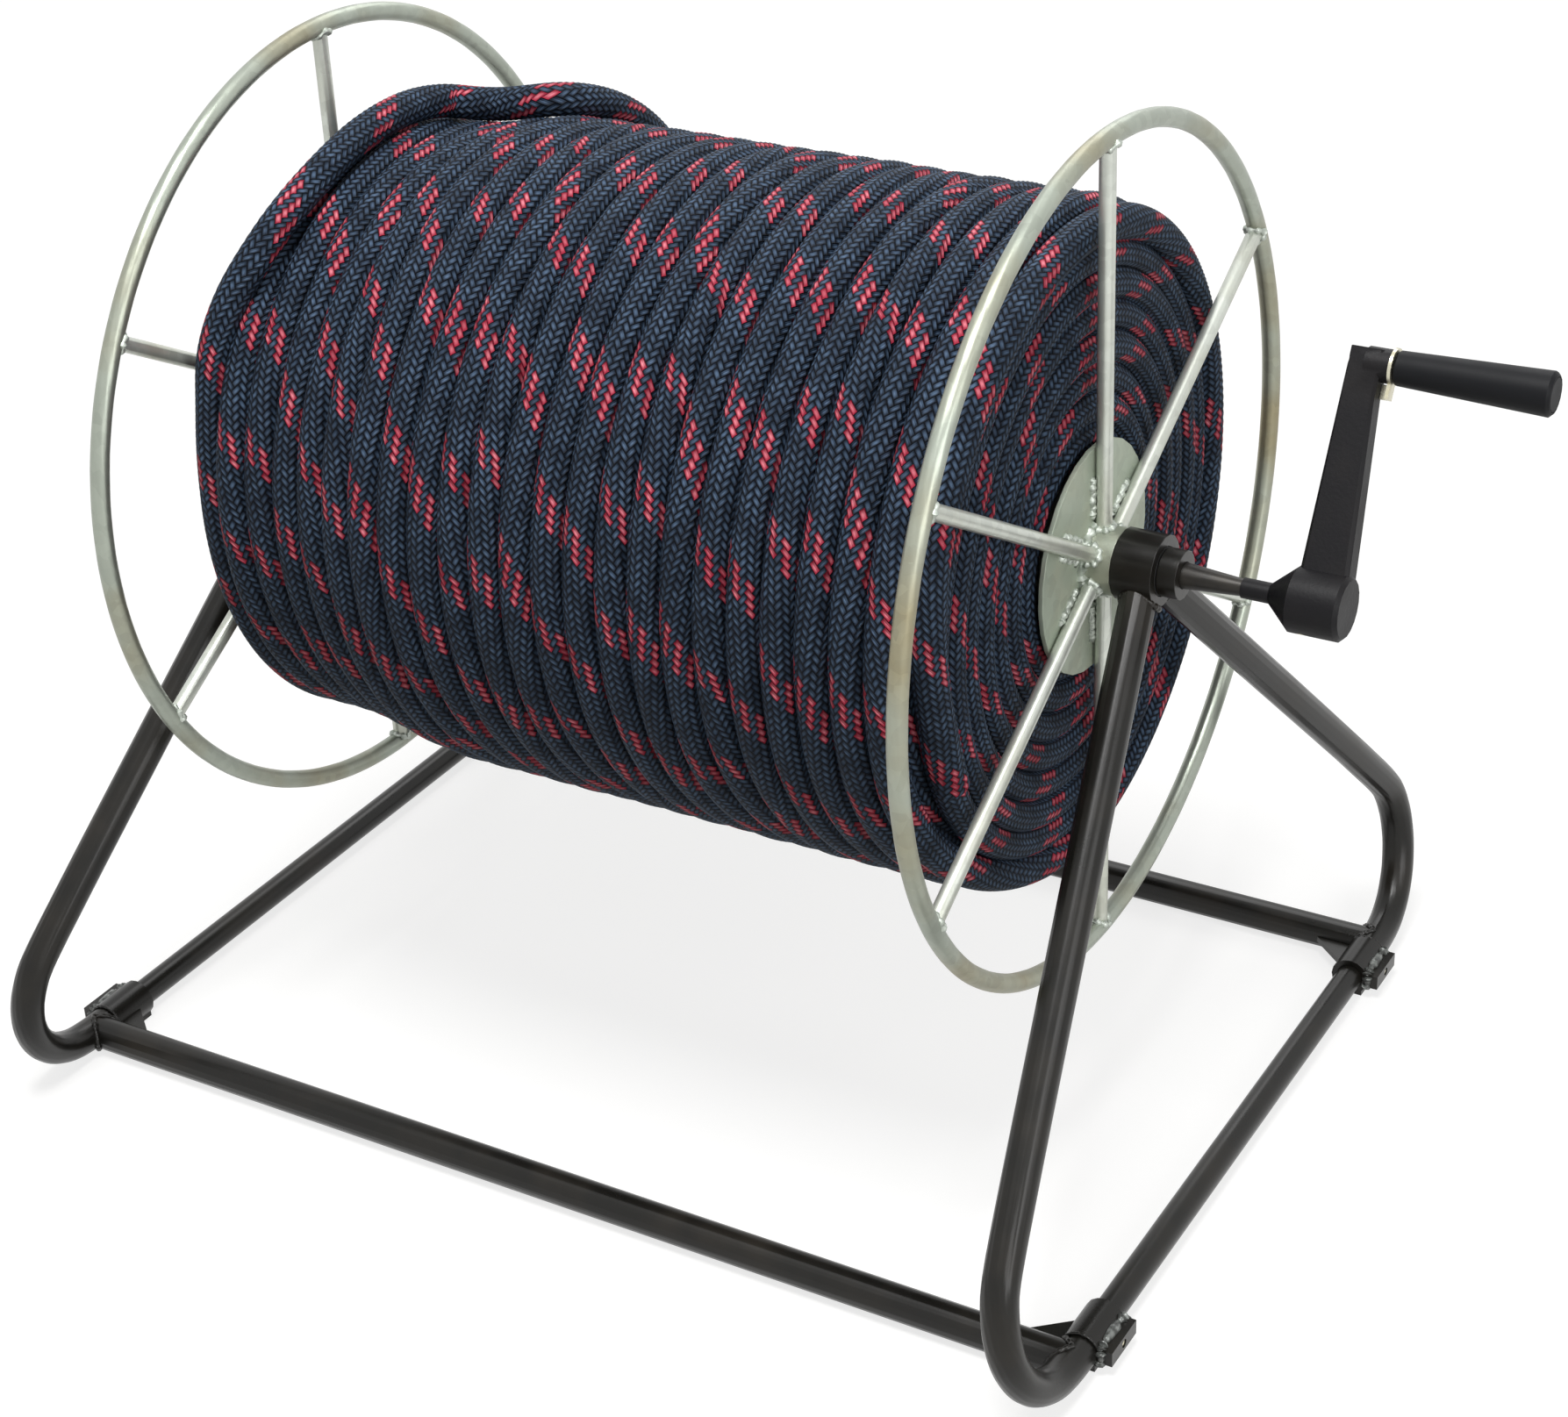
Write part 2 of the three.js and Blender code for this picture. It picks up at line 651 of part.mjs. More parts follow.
// The layers below are one ring that follows the pack's shape. The rise of the outer layer is let in.
function ropeCore() {
  const fallStart = windingEnd + leftFallEnd + leftFallLength;
  const fallEnd = windingEnd + leftFallEnd;
  const dipEnd = windingEnd + ropeDiameter / 2 + ropeCoreGap;
  const places = [-packEndX, dipEnd, dipEnd + ropeDiameter];
  for (let i = coreFallSteps; i >= 0; i -= 1) {
    places.push(fallStart + ((fallEnd - fallStart) * i) / coreFallSteps);
  }
  const rightStart = windingStart - rightFallLength - ropeDiameter / 2;
  for (let i = 0; i <= coreFallSteps; i += 1) {
    places.push(rightStart + ((windingStart - rightStart) * i) / coreFallSteps);
  }
  places.push(packEndX);
  const bore = (drumDiameter / 2 + seat) / Math.cos(TURN / 2 / coreSides); // its flats clear the drum
  const profile = places.map((x) => [x, coreRadiusAt(x) - (x > dipEnd ? 0 : lastTurnDip)]);
  const outline = [[-packEndX, bore], ...profile, [packEndX, bore], [-packEndX, bore]];
  const ring = turnedX(outline, coreSides);
  const riseCount = Math.round(riseTurns * ropeStepsPerTurn * 2) + 3;
  const beginning = ropeStations.slice(0, riseCount);
  beginning[0] = beyond(beginning[0], beginning[1], seat);
  const groove = sweep(polygon(ropeDiameter / 2 + ropeCoreGap, ropeSides, new THREE.Shape()), beginning);
  return cut(ring, groove);
}

// Crank: made with its arm along +Y, and turned to its rest place by its group.
function crankBoss() {
  const radius = bossDiameter / 2;
  return turnedX([
    [crankNeckX, 0],
    [crankNeckX, crankNeckDiameter / 2],
    [coneX, crankNeckDiameter / 2],
    [coneX + bossConeLength, radius],
    [bossOuterX - armChamfer, radius],
    [bossOuterX, radius - armChamfer],
    [bossOuterX, 0],
  ]);
}

// The arm tapers from the boss to the flat seat under the grip. Its inner face is square to the axle.
function crankArmBar() {
  const length = crankRadius + armPastPin;
  const taperEnd = crankRadius - washerTabReach - seat;
  const half = armRootWidth / 2;
  const c = armChamfer;
  const t = armRootThickness;
  const section = new THREE.Shape([[0, -half + c], [c, -half], [t - c, -half], [t, -half + c],
    [t, half - c], [t - c, half], [c, half], [0, half - c]].map(([x, z]) => new THREE.Vector2(x, z)));
  const bar = new THREE.ExtrudeGeometry(section, { depth: length, steps: 2, bevelEnabled: false });
  bar.rotateX(-TURN / 4);
  const ys = [0, taperEnd, length];
  const thicknesses = [1, armTipThickness / armRootThickness, armTipThickness / armRootThickness];
  const position = bar.attributes.position;
  for (let i = 0; i < position.count; i += 1) {
    const station = Math.round((position.getY(i) / length) * 2);
    const width = 1 + (armTipWidth / armRootWidth - 1) * (ys[station] / length);
    position.setX(i, position.getX(i) * thicknesses[station]);
    position.setY(i, ys[station]);
    position.setZ(i, position.getZ(i) * width);
  }
  return bar.translate(armInnerX, 0, 0);
}

function crankArm() {
  const pinBoss = ringX(pinBossDiameter / 2, 0, crankX, pinBossX).translate(0, crankRadius, 0);
  const body = join(crankBoss(), crankArmBar(), pinBoss);
  const bore = ringX(axleSpigotDiameter / 2 + seat, 0, crankNeckX - cutOverrun,
    bossOuterX - bossWall + seat);
  const pinHole = ringX(gripPinDiameter / 2 + seat, 0, armInnerX - cutOverrun,
    pinBossX + cutOverrun, smallSides).translate(0, crankRadius, 0);
  const nutRecess = ringX(gripNutDiameter / 2 + seat, 0, armInnerX - cutOverrun,
    gripNutX + gripNutThickness + seat, smallSides).translate(0, crankRadius, 0);
  const screwHole = barY(crankScrewDiameter / 2 + seat, -bossDiameter, 0, smallSides);
  return cut(body, bore, pinHole, nutRecess, screwHole.translate(crankScrewX, 0, 0));
}

const crankScrewX = coneX + bossConeLength + crankScrewDiameter;
const gripNutX = armInnerX + seat;

function crankScrew() {
  const screw = setScrewX(crankScrewDiameter, axleSpigotDiameter / 2 + seat, bossDiameter / 2 - seat);
  return screw.rotateZ(-TURN / 4).translate(crankScrewX, 0, 0);
}

function onPin(geometry) {
  return geometry.translate(0, crankRadius, 0);
}

function gripPin() {
  const headX = gripEndX - gripCapThickness - endFloat - pinHeadLength;
  const shank = ringX(gripPinDiameter / 2, 0, gripNutX, headX + seat);
  const head = ringX(pinHeadDiameter / 2, 0, headX, headX + pinHeadLength);
  return onPin(join(shank, head));
}

function gripNut() {
  const ring = annulus(gripNutDiameter / 2, gripPinDiameter / 2 + seat, smallSides, smallSides);
  const nut = new THREE.ExtrudeGeometry(ring, { depth: gripNutThickness, bevelEnabled: false });
  return onPin(nut.rotateY(TURN / 4).translate(gripNutX, 0, 0));
}

// The washer behind the grip has a tab that points down the arm, with one edge bent back to the arm.
function tabWasher() {
  const washer = ringX(washerDiameter / 2, 0, washerX, washerX + washerThickness);
  const half = washerTabWidth / 2;
  const tab = box(washerX, washerX + washerThickness, -washerTabReach, 0, -half, half);
  const wing = box(armTipOuterX + seat, washerX + washerThickness, -washerTabReach,
    -pinBossDiameter / 2 - seat, -half, -half + washerThickness);
  const hole = ringX(gripPinDiameter / 2 + seat, 0, washerX - cutOverrun,
    washerX + washerThickness + cutOverrun, smallSides);
  return onPin(cut(join(washer, tab, wing), hole));
}

function grip() {
  const corner = gripCapThickness / 5;
  const headRoom = gripEndX - gripCapThickness - endFloat * 2 - pinHeadLength;
  const outline = [
    [gripX, gripPinDiameter / 2 + running],
    [gripX, gripRootDiameter / 2 - corner],
    [gripX + corner, gripRootDiameter / 2],
    [gripEndX - corner * 2, gripEndDiameter / 2],
    [gripEndX, gripEndDiameter / 2 - corner * 2],
    [gripEndX, gripCapDiameter / 2 + seat],
    [gripEndX - gripCapThickness - seat, gripCapDiameter / 2 + seat],
    [gripEndX - gripCapThickness - seat, pinHeadDiameter / 2 + endFloat],
    [headRoom, pinHeadDiameter / 2 + endFloat],
    [headRoom, gripPinDiameter / 2 + running],
  ];
  return onPin(turnedX([...outline, outline[0]]));
}

function gripCap() {
  return onPin(ringX(gripCapDiameter / 2, 0, gripEndX - gripCapThickness, gripEndX));
}

function makeCrank() {
  const crank = new THREE.Group();
  crank.rotation.x = TURN * crankRestTurnShare;
  crank.add(part('crank_arm', crankArm(), castBlack));
  crank.add(part('crank_screw', crankScrew(), zincPlate));
  crank.add(part('grip_pin', gripPin(), steelBar));
  crank.add(part('grip_nut', gripNut(), castBlack));
  crank.add(part('tab_washer', tabWasher(), zincPlate));
  crank.add(part('grip', grip(), blackPlastic));
  crank.add(part('grip_cap', gripCap(), blackPlastic));
  return crank;
}

function makeReel() {
  const reel = new THREE.Group();
  reel.position.z = axleZ;
  reel.add(part('axle', axle(), steelBar));
  reel.add(part('drum_tube', drumTube(), galvanised));
  reel.add(part('rope_core', ropeCore(), rope));
  reel.add(part('rope_winding', ropeWinding(), rope));
  for (const [sideName, side] of [['left', -1], ['right', 1]]) {
    reel.add(part(`hub_sleeve_${sideName}`, hubSleeve(side), galvanised));
    reel.add(part(`hub_pin_${sideName}`, hubPin(side), steelBar));
    reel.add(part(`hub_disc_${sideName}`, hubDisc(side), galvanised));
    reel.add(part(`rim_${sideName}`, rim(side), galvanised));
    reel.add(part(`shaft_collar_${sideName}`, shaftCollar(side), blackPaint));
    reel.add(part(`collar_screw_${sideName}`, collarScrew(side), zincPlate));
    for (let i = 0; i < spokeCount; i += 1) {
      reel.add(part(`spoke_${sideName}_${i + 1}`, spoke(side, i), galvanised));
    }
  }
  reel.add(makeCrank());
  return reel;
}

const winder = new THREE.Group();
winder.position.x = -middleX;
winder.add(makeStand());
winder.add(makeReel());

export default winder;
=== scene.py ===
"""Looks of a rope winder: a tube stand, a spoked reel full of braided rope and a crank.

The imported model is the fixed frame. Its nodes keep their shapes and get their finishes here. The
braided rope, its whipping and the weld beads are modelled round it. Metres, +Z up, +X towards the
crank.
"""

import json
import logging
import math
from dataclasses import dataclass, field
from enum import Enum

import bpy
import numpy as np
from mathutils import Matrix, Vector

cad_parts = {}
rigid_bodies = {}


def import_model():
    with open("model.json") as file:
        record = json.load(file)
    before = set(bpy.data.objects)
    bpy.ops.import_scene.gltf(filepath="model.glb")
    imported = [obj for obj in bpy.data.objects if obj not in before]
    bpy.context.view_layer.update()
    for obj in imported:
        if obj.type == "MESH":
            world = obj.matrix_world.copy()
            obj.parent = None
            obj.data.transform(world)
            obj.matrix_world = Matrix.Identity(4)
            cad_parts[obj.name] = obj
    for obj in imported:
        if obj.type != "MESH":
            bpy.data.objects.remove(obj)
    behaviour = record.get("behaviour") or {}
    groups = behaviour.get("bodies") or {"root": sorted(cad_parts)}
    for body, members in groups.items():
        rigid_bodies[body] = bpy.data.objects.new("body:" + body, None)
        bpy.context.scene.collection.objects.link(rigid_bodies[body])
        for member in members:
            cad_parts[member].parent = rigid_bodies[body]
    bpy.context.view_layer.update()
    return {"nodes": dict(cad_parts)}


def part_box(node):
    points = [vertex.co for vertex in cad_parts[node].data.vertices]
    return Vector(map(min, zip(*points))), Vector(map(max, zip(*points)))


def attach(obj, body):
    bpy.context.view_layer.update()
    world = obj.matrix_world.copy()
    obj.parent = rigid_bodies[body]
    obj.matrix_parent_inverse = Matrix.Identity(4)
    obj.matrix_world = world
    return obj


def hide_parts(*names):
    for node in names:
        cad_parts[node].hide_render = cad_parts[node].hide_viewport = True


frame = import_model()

LOG = logging.getLogger("rope_winder")
MM = 0.001
TURN = 2 * math.pi
BRAID_MAP = "braid"
Points = np.ndarray


class Named(Enum):
    """Options whose names stand in the names of nodes."""

    @property
    def word(self) -> str:
        """The option's name, as it stands in node names."""
        return self.name.lower()


class Side(Named):
    """The two ends of the axle."""

    LEFT = -1
    RIGHT = 1


class End(Named):
    """The front and the back of the stand."""

    FRONT = -1
    BACK = 1


class Body(Enum):
    """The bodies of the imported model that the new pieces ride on."""

    STAND = "stand"
    REEL = "reel"


def linear(colour: str) -> tuple[float, float, float, float]:
    """Turns an sRGB hex colour into a linear one.

    Args:
        colour: six hex digits after a hash sign.

    Returns:
        Red, green, blue and an alpha of one.
    """
    parts = [int(colour[i : i + 2], 16) / 255 for i in (1, 3, 5)]
    low = [c / 12.92 if c <= 0.04045 else ((c + 0.055) / 1.055) ** 2.4 for c in parts]
    return (*low, 1.0)


def add_node(tree: bpy.types.NodeTree, kind: str, inputs: dict, **settings: object) -> bpy.types.Node:
    """Adds one node with its settings and links.

    Args:
        tree: the tree that the node joins.
        kind: the node's type.
        inputs: a socket to link from, or a value, for each named or numbered input.
        **settings: the node's own properties.

    Returns:
        The new node.
    """
    node = tree.nodes.new(kind)
    for name, value in settings.items():
        setattr(node, name, value)
    for key, value in inputs.items():
        if isinstance(value, bpy.types.NodeSocket):
            tree.links.new(value, node.inputs[key])
        else:
            node.inputs[key].default_value = value
    return node


def empty_material(name: str) -> bpy.types.Material:
    """Makes a material whose tree is still empty.

    Args:
        name: the material's name.

    Returns:
        The new material.
    """
    material = bpy.data.materials.new(name)
    material.use_nodes = True
    material.node_tree.nodes.clear()
    return material


def per_metre(size_mm: float) -> float:
    """The texture scale at which one cell is that many millimetres wide."""
    return 1 / (size_mm * MM)


@dataclass(frozen=True)
class Finish:
    """A surface finish, from the real material and how it was made."""

    name: str
    colour: str
    worn_colour: str
    roughness: float
    metallic: float
    grain_mm: float
    patch_mm: float
    relief_mm: float
    worn_share: float = 0.35
    worn_from: float = 0.45
    worn_to: float = 0.75
    roughness_swing: float = 0.12
    specular: float = 0.5
    patch_detail: float = 4.0
    grain_detail: float = 3.0

    def build(self) -> bpy.types.Material:
        """Makes the node material.

        Returns:
            The finished material.
        """
        material = empty_material(self.name)
        tree = material.node_tree
        place = add_node(tree, "ShaderNodeTexCoord", {}).outputs["Object"]
        shader = self.shader(tree, place)
        add_node(tree, "ShaderNodeOutputMaterial", {"Surface": shader.outputs[0]})
        return material

    def shader(self, tree: bpy.types.NodeTree, place: bpy.types.NodeSocket) -> bpy.types.Node:
        """Adds patches of wear, which on the lug beads are painted highlights, grain relief and the shader
        itself.

        Args:
            tree: the material's tree.
            place: object coordinates.

        Returns:
            The shader node.
        """
        patches = add_node(
            tree,
            "ShaderNodeTexNoise",
            {"Vector": place, "Scale": per_metre(self.patch_mm), "Detail": self.patch_detail},
        ).outputs["Fac"]
        # Patches of the second colour: wear on most finishes, painted highlights on the lug beads.
        wear_and_highlight = add_node(
            tree,
            "ShaderNodeMapRange",
            {
                "Value": patches,
                "From Min": self.worn_from,
                "From Max": self.worn_to,
                "To Max": self.worn_share,
            },
        )
        colour = add_node(
            tree,
            "ShaderNodeMix",
            {0: wear_and_highlight.outputs[0], 6: linear(self.colour), 7: linear(self.worn_colour)},
            data_type="RGBA",
        )
        grain = add_node(
            tree,
            "ShaderNodeTexNoise",
            {"Vector": place, "Scale": per_metre(self.grain_mm), "Detail": self.grain_detail},
        )
        rough = add_node(
            tree,
            "ShaderNodeMapRange",
            {
                "Value": patches,
                "To Min": self.roughness - self.roughness_swing,
                "To Max": self.roughness + self.roughness_swing,
            },
        )
        bump = add_node(
            tree,
            "ShaderNodeBump",
            {"Height": grain.outputs["Fac"], "Strength": 1.0, "Distance": self.relief_mm * MM},
        )
        return add_node(
            tree,
            "ShaderNodeBsdfPrincipled",
            {
                "Base Color": colour.outputs[2],
                "Roughness": rough.outputs[0],
                "Metallic": self.metallic,
                "Specular IOR Level": self.specular,
                "Normal": bump.outputs[0],
            },
        )


@dataclass(frozen=True)
class Galvanised(Finish):
    """Hot-dipped zinc. Its crystals differ a little in tone, and old ones turn dull and yellowish."""

    spangle_mm: float = 7.0
    spangle_share: float = 0.16

    def shader(self, tree: bpy.types.NodeTree, place: bpy.types.NodeSocket) -> bpy.types.Node:
        """Adds the spangle over the patches of the plain finish.

        Args:
            tree: the material's tree.
            place: object coordinates.

        Returns:
            The shader node.
        """
        shader = super().shader(tree, place)
        spangle = add_node(
            tree, "ShaderNodeTexVoronoi", {"Vector": place, "Scale": per_metre(self.spangle_mm)}
        )
        tone = add_node(
            tree,
            "ShaderNodeMapRange",
            {"Value": spangle.outputs["Color"], "To Min": 1 - self.spangle_share, "To Max": 1.0},
        )
        plain = shader.inputs["Base Color"].links[0].from_socket
        toned = add_node(
            tree,
            "ShaderNodeMix",
            {0: 1.0, 6: plain, 7: tone.outputs[0]},
            data_type="RGBA",
            blend_type="MULTIPLY",
        )
        tree.links.new(toned.outputs[2], shader.inputs["Base Color"])
        return shader


@dataclass(frozen=True)
class BraidedPolyester:
    """Filament polyester, braided from two sets of strands that pass over two and under two.

    The pattern follows the piece's own map: one unit across is once round the rope, and one unit
    along is one lead of a strand. A few strands are dyed, and show as rows of flecks. The relief is
    drawn a little deeper than it is, so that it shows. Shade is painted into the grooves between the
    stitches and a highlight onto their crests; the painted highlight is weaker in patches.
    """

    name: str = "braided_polyester"
    strand_colour: str = "#161e2c"
    # Painted shade: the colour of the grooves between the stitches.
    strand_shade_colour: str = "#05060a"
    # Painted highlight on the crests of the plain strands.
    strand_light_colour: str = "#6c86a6"
    fleck_colour: str = "#981d36"
    # Painted highlight on the crests of the dyed strands.
    fleck_light_colour: str = "#f08e9b"
    roughness: float = 0.62
    specular: float = 0.15
    strands_each_way: int = 16
    passed_over: int = 2
    dyed_strands: int = 4
    relief_mm: float = 1.5
    crown_power: float = 0.5
    yarns_per_strand: int = 3
    yarn_relief: float = 0.06
    # How tightly the painted highlight gathers on each crest, and how strong it is.
    light_power: float = 3.0
    lit_share: float = 0.6
    # Patches in which the painted highlight on the crests is weaker.
    fade_mm: float = 14.0
    fade_detail: float = 2.0
    fade_from: float = 0.35
    fade_to: float = 0.65
    least_light: float = 0.35

    def build(self) -> bpy.types.Material:
        """Makes the node material.

        Returns:
            The finished material.
        """
        material = empty_material(self.name)
        tree = material.node_tree
        uv = add_node(tree, "ShaderNodeUVMap", {}, uv_map=BRAID_MAP).outputs[0]
        split = add_node(tree, "ShaderNodeSeparateXYZ", {"Vector": uv})
        place = add_node(tree, "ShaderNodeTexCoord", {}).outputs["Object"]
        # Noise that makes the painted highlight weaker in patches.
        highlight_noise = add_node(
            tree,
            "ShaderNodeTexNoise",
            {"Vector": place, "Scale": per_metre(self.fade_mm), "Detail": self.fade_detail},
        )
        highlight_patches = add_node(
            tree,
            "ShaderNodeMapRange",
            {
                "Value": highlight_noise.outputs["Fac"],
                "From Min": self.fade_from,
                "From Max": self.fade_to,
                "To Min": self.least_light,
            },
        )
        known = {"round": split.outputs[0], "lead": split.outputs[1], "highlight_patches": highlight_patches.outputs[0]}
        for name, operation, *values in self.arithmetic():
            inputs = {number: known.get(value, value) for number, value in enumerate(values)}
            known[name] = add_node(tree, "ShaderNodeMath", inputs, operation=operation).outputs[0]
        for name, share, low, high in self.colours():
            inputs = {0: known[share], 6: known.get(low, low), 7: known.get(high, high)}
            known[name] = add_node(tree, "ShaderNodeMix", inputs, data_type="RGBA").outputs[2]
        bump = add_node(
            tree,
            "ShaderNodeBump",
            {"Height": known["height"], "Strength": 1.0, "Distance": self.relief_mm * MM},
        )
        shader = add_node(
            tree,
            "ShaderNodeBsdfPrincipled",
            {
                "Base Color": known["colour"],
                "Roughness": self.roughness,
                "Specular IOR Level": self.specular,
                "Normal": bump.outputs[0],
            },
        )
        add_node(tree, "ShaderNodeOutputMaterial", {"Surface": shader.outputs[0]})
        return material

    def arithmetic(self) -> tuple[tuple[str | float, ...], ...]:
        """The steps from the map to the strands, their crowns and yarns, the flecks and the painted
        highlight.

        Returns:
            Each step's own name, its operation, and the names or numbers that it works on.
        """
        count = float(self.strands_each_way)
        over = float(self.passed_over)
        return (
            # Which strand of each set runs here, and how far across it this point is.
            ("first_lean", "SUBTRACT", "round", "lead"),
            ("first", "MULTIPLY", "first_lean", count),
            ("first_cell", "FLOOR", "first"),
            ("first_part", "SUBTRACT", "first", "first_cell"),
            ("second_lean", "ADD", "round", "lead"),
            ("second", "MULTIPLY", "second_lean", count),
            ("second_cell", "FLOOR", "second"),
            ("second_part", "SUBTRACT", "second", "second_cell"),
            # Which set lies on top, and how far across and along its stitch this point is.
            ("cells", "ADD", "first_cell", "second_cell"),
            ("phase", "FLOORED_MODULO", "cells", 2 * over),
            ("second_on_top", "GREATER_THAN", "phase", over - 0.5),
            ("across_gap", "SUBTRACT", "second_part", "first_part"),
            ("across", "MULTIPLY_ADD", "second_on_top", "across_gap", "first_part"),
            ("first_way", "ADD", "phase", "second_part"),
            ("first_along", "MULTIPLY", "first_way", 1 / over),
            ("shifted", "SUBTRACT", "phase", over),
            ("second_way", "ADD", "shifted", "first_part"),
            ("second_along", "MULTIPLY", "second_way", 1 / over),
            ("along_gap", "SUBTRACT", "second_along", "first_along"),
            ("along", "MULTIPLY_ADD", "second_on_top", "along_gap", "first_along"),
            # Each stitch is a crown, with the grooves between its yarns.
            ("across_turn", "MULTIPLY", "across", math.pi),
            ("along_turn", "MULTIPLY", "along", math.pi),
            ("round_across", "SINE", "across_turn"),
            ("round_along", "SINE", "along_turn"),
            ("round_both", "MULTIPLY", "round_across", "round_along"),
            ("crown", "POWER", "round_both", self.crown_power),
            ("yarn_turn", "MULTIPLY", "across", TURN * self.yarns_per_strand),
            ("yarn_wave", "COSINE", "yarn_turn"),
            ("yarns", "MULTIPLY", "yarn_wave", -self.yarn_relief),
            ("height", "ADD", "crown", "yarns"),
            # The dyed strands show only where they lie on top.
            ("strand", "FLOORED_MODULO", "second_cell", count),
            ("dyed", "LESS_THAN", "strand", self.dyed_strands - 0.5),
            ("fleck", "MULTIPLY", "dyed", "second_on_top"),
            # The crests get a painted highlight, weaker in patches.
            ("crest", "POWER", "crown", self.light_power),
            ("highlight_strength", "MULTIPLY", "crest", "highlight_patches"),
            ("lit_share", "MULTIPLY", "highlight_strength", self.lit_share),
        )

    def colours(self) -> tuple[tuple[str | tuple[float, ...], ...], ...]:
        """The colours that are mixed from painted shade in the grooves to a painted highlight on the
        crests, for plain and for dyed strands.

        Returns:
            Each mix's own name, its share, and the two names or colours that it lies between.
        """
        return (
            # Painted shade in the grooves, then a painted highlight on the plain crests and on the dyed
            # ones.
            ("ground", "crown", linear(self.strand_shade_colour), linear(self.strand_colour)),
            ("lit", "lit_share", "ground", linear(self.strand_light_colour)),
            ("dye", "highlight_strength", linear(self.fleck_colour), linear(self.fleck_light_colour)),
            ("colour", "fleck", "lit", "dye"),
        )


# Satin enamel sprayed on steel tube: nearly black, with a fine orange peel and dusty patches.
SATIN_ENAMEL = Finish(
    "satin_enamel", "#141310", "#352f27",
    roughness=0.3, metallic=0.0, grain_mm=1.6, patch_mm=45.0, relief_mm=0.03, specular=0.33,
)
# Enamel over weld ripples with painted highlights: pale grey patches stand for the light on the ripples,
# grey stripes beside the black.
HIGHLIT_LUG_ENAMEL = Finish(
    "rubbed_enamel", "#454745", "#b2b7b3",
    roughness=0.3, metallic=0.2, grain_mm=1.0, patch_mm=5.0, relief_mm=0.05, worn_share=0.9,
)
# Hot-dip galvanised round bar: grey with a green cast, duller and yellower in patches.
ZINC_BAR = Galvanised(
    "galvanised_bar", "#abb2a6", "#998c68",
    roughness=0.4, metallic=0.7, grain_mm=2.5, patch_mm=110.0, relief_mm=0.05, worn_share=0.9,
)
# The spokes' bar has kept its zinc cleaner and whiter.
ZINC_SPOKE = Galvanised(
    "galvanised_spoke", "#dadfd6", "#b9b8a4",
    roughness=0.36, metallic=0.6, grain_mm=2.5, patch_mm=60.0, relief_mm=0.05, worn_share=0.6,
)
# Galvanised sheet of the hub discs: flatter and greener than the bar.
ZINC_SHEET = Galvanised(
    "galvanised_sheet", "#b7c2b1", "#c0c3ad",
    roughness=0.5, metallic=0.35, grain_mm=2.0, patch_mm=30.0, relief_mm=0.03, worn_share=0.6,
)
# Weld metal left bright under the zinc: speckled and glossy.
WELD_METAL = Finish(
    "weld_metal", "#c6cdc4", "#8b9389",
    roughness=0.42, metallic=0.55, grain_mm=2.2, patch_mm=5.0, relief_mm=0.12, worn_share=0.8,
)
# Cast iron under black enamel: the sand mould leaves a coarse grain.
CAST_ENAMEL = Finish(
    "enamelled_casting", "#0f0e11", "#211e1d",
    roughness=0.5, metallic=0.0, grain_mm=2.2, patch_mm=35.0, relief_mm=0.12, specular=0.22,
)
# Zinc plated small parts: bright with a warm passivation tint.
ZINC_PLATE = Finish(
    "zinc_plate", "#d6d2bd", "#b0a67e",
    roughness=0.3, metallic=0.85, grain_mm=1.0, patch_mm=9.0, relief_mm=0.02, worn_share=0.6,
)
# Drawn bar with an oily dark skin: smooth, with faint dull patches.
DRAWN_BAR = Finish(
    "drawn_bar", "#1f1d1b", "#3a362f",
    roughness=0.35, metallic=0.4, grain_mm=1.0, patch_mm=14.0, relief_mm=0.02, worn_share=0.6,
)
# Moulded polypropylene, dull from a spark-eroded grain that is drawn coarser, so that it shows.
GRIP_PLASTIC = Finish(
    "moulded_polypropylene", "#0f1013", "#191a1c",
    roughness=0.55, metallic=0.0, grain_mm=0.9, patch_mm=22.0, relief_mm=0.05, specular=0.18,
)
# Cast nylon filled with carbon black: dull and even.
CAST_NYLON = Finish(
    "cast_nylon", "#19191a", "#2a2927",
    roughness=0.5, metallic=0.0, grain_mm=1.5, patch_mm=10.0, relief_mm=0.02,
)
# Waxed twine round the rope's end: dark, with a dull gloss on each turn.
WAXED_TWINE = Finish(
    "waxed_twine", "#15161c", "#2b2c36",
    roughness=0.6, metallic=0.0, grain_mm=0.8, patch_mm=3.0, relief_mm=0.08,
)

NODE_FINISHES: dict[str, Finish] = {
    "cross_rail": SATIN_ENAMEL,
    "side_rail": SATIN_ENAMEL,
    "leg": SATIN_ENAMEL,
    "corner_socket": SATIN_ENAMEL,
    "bearing_housing": SATIN_ENAMEL,
    "shaft_collar": SATIN_ENAMEL,
    "bearing_bush": CAST_NYLON,
    "rim": ZINC_BAR,
    "spoke": ZINC_SPOKE,
    "hub_sleeve": ZINC_BAR,
    "drum_tube": ZINC_BAR,
    "hub_disc": ZINC_SHEET,
    "axle": DRAWN_BAR,
    "hub_pin": DRAWN_BAR,
    "grip_pin": DRAWN_BAR,
    "clamp_screw": ZINC_PLATE,
    "collar_screw": ZINC_PLATE,
    "crank_screw": ZINC_PLATE,
    "grip_nut": CAST_ENAMEL,
    "tab_washer": ZINC_PLATE,
    "crank_arm": CAST_ENAMEL,
    "grip": GRIP_PLASTIC,
    "grip_cap": GRIP_PLASTIC,
}


def middle(node: str) -> Vector:
    """The middle of a node's box."""
    low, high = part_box(node)
    return (low + high) / 2


def deselect() -> None:
    """Leaves nothing selected, so that an operator acts only on what comes next."""
    for thing in bpy.context.view_layer.objects:
        thing.select_set(False)


def select_only(piece: bpy.types.Object) -> None:
    """Selects one piece and makes it the active one.

    Args:
        piece: the piece to select.
    """
    deselect()
    piece.select_set(True)
    bpy.context.view_layer.objects.active = piece


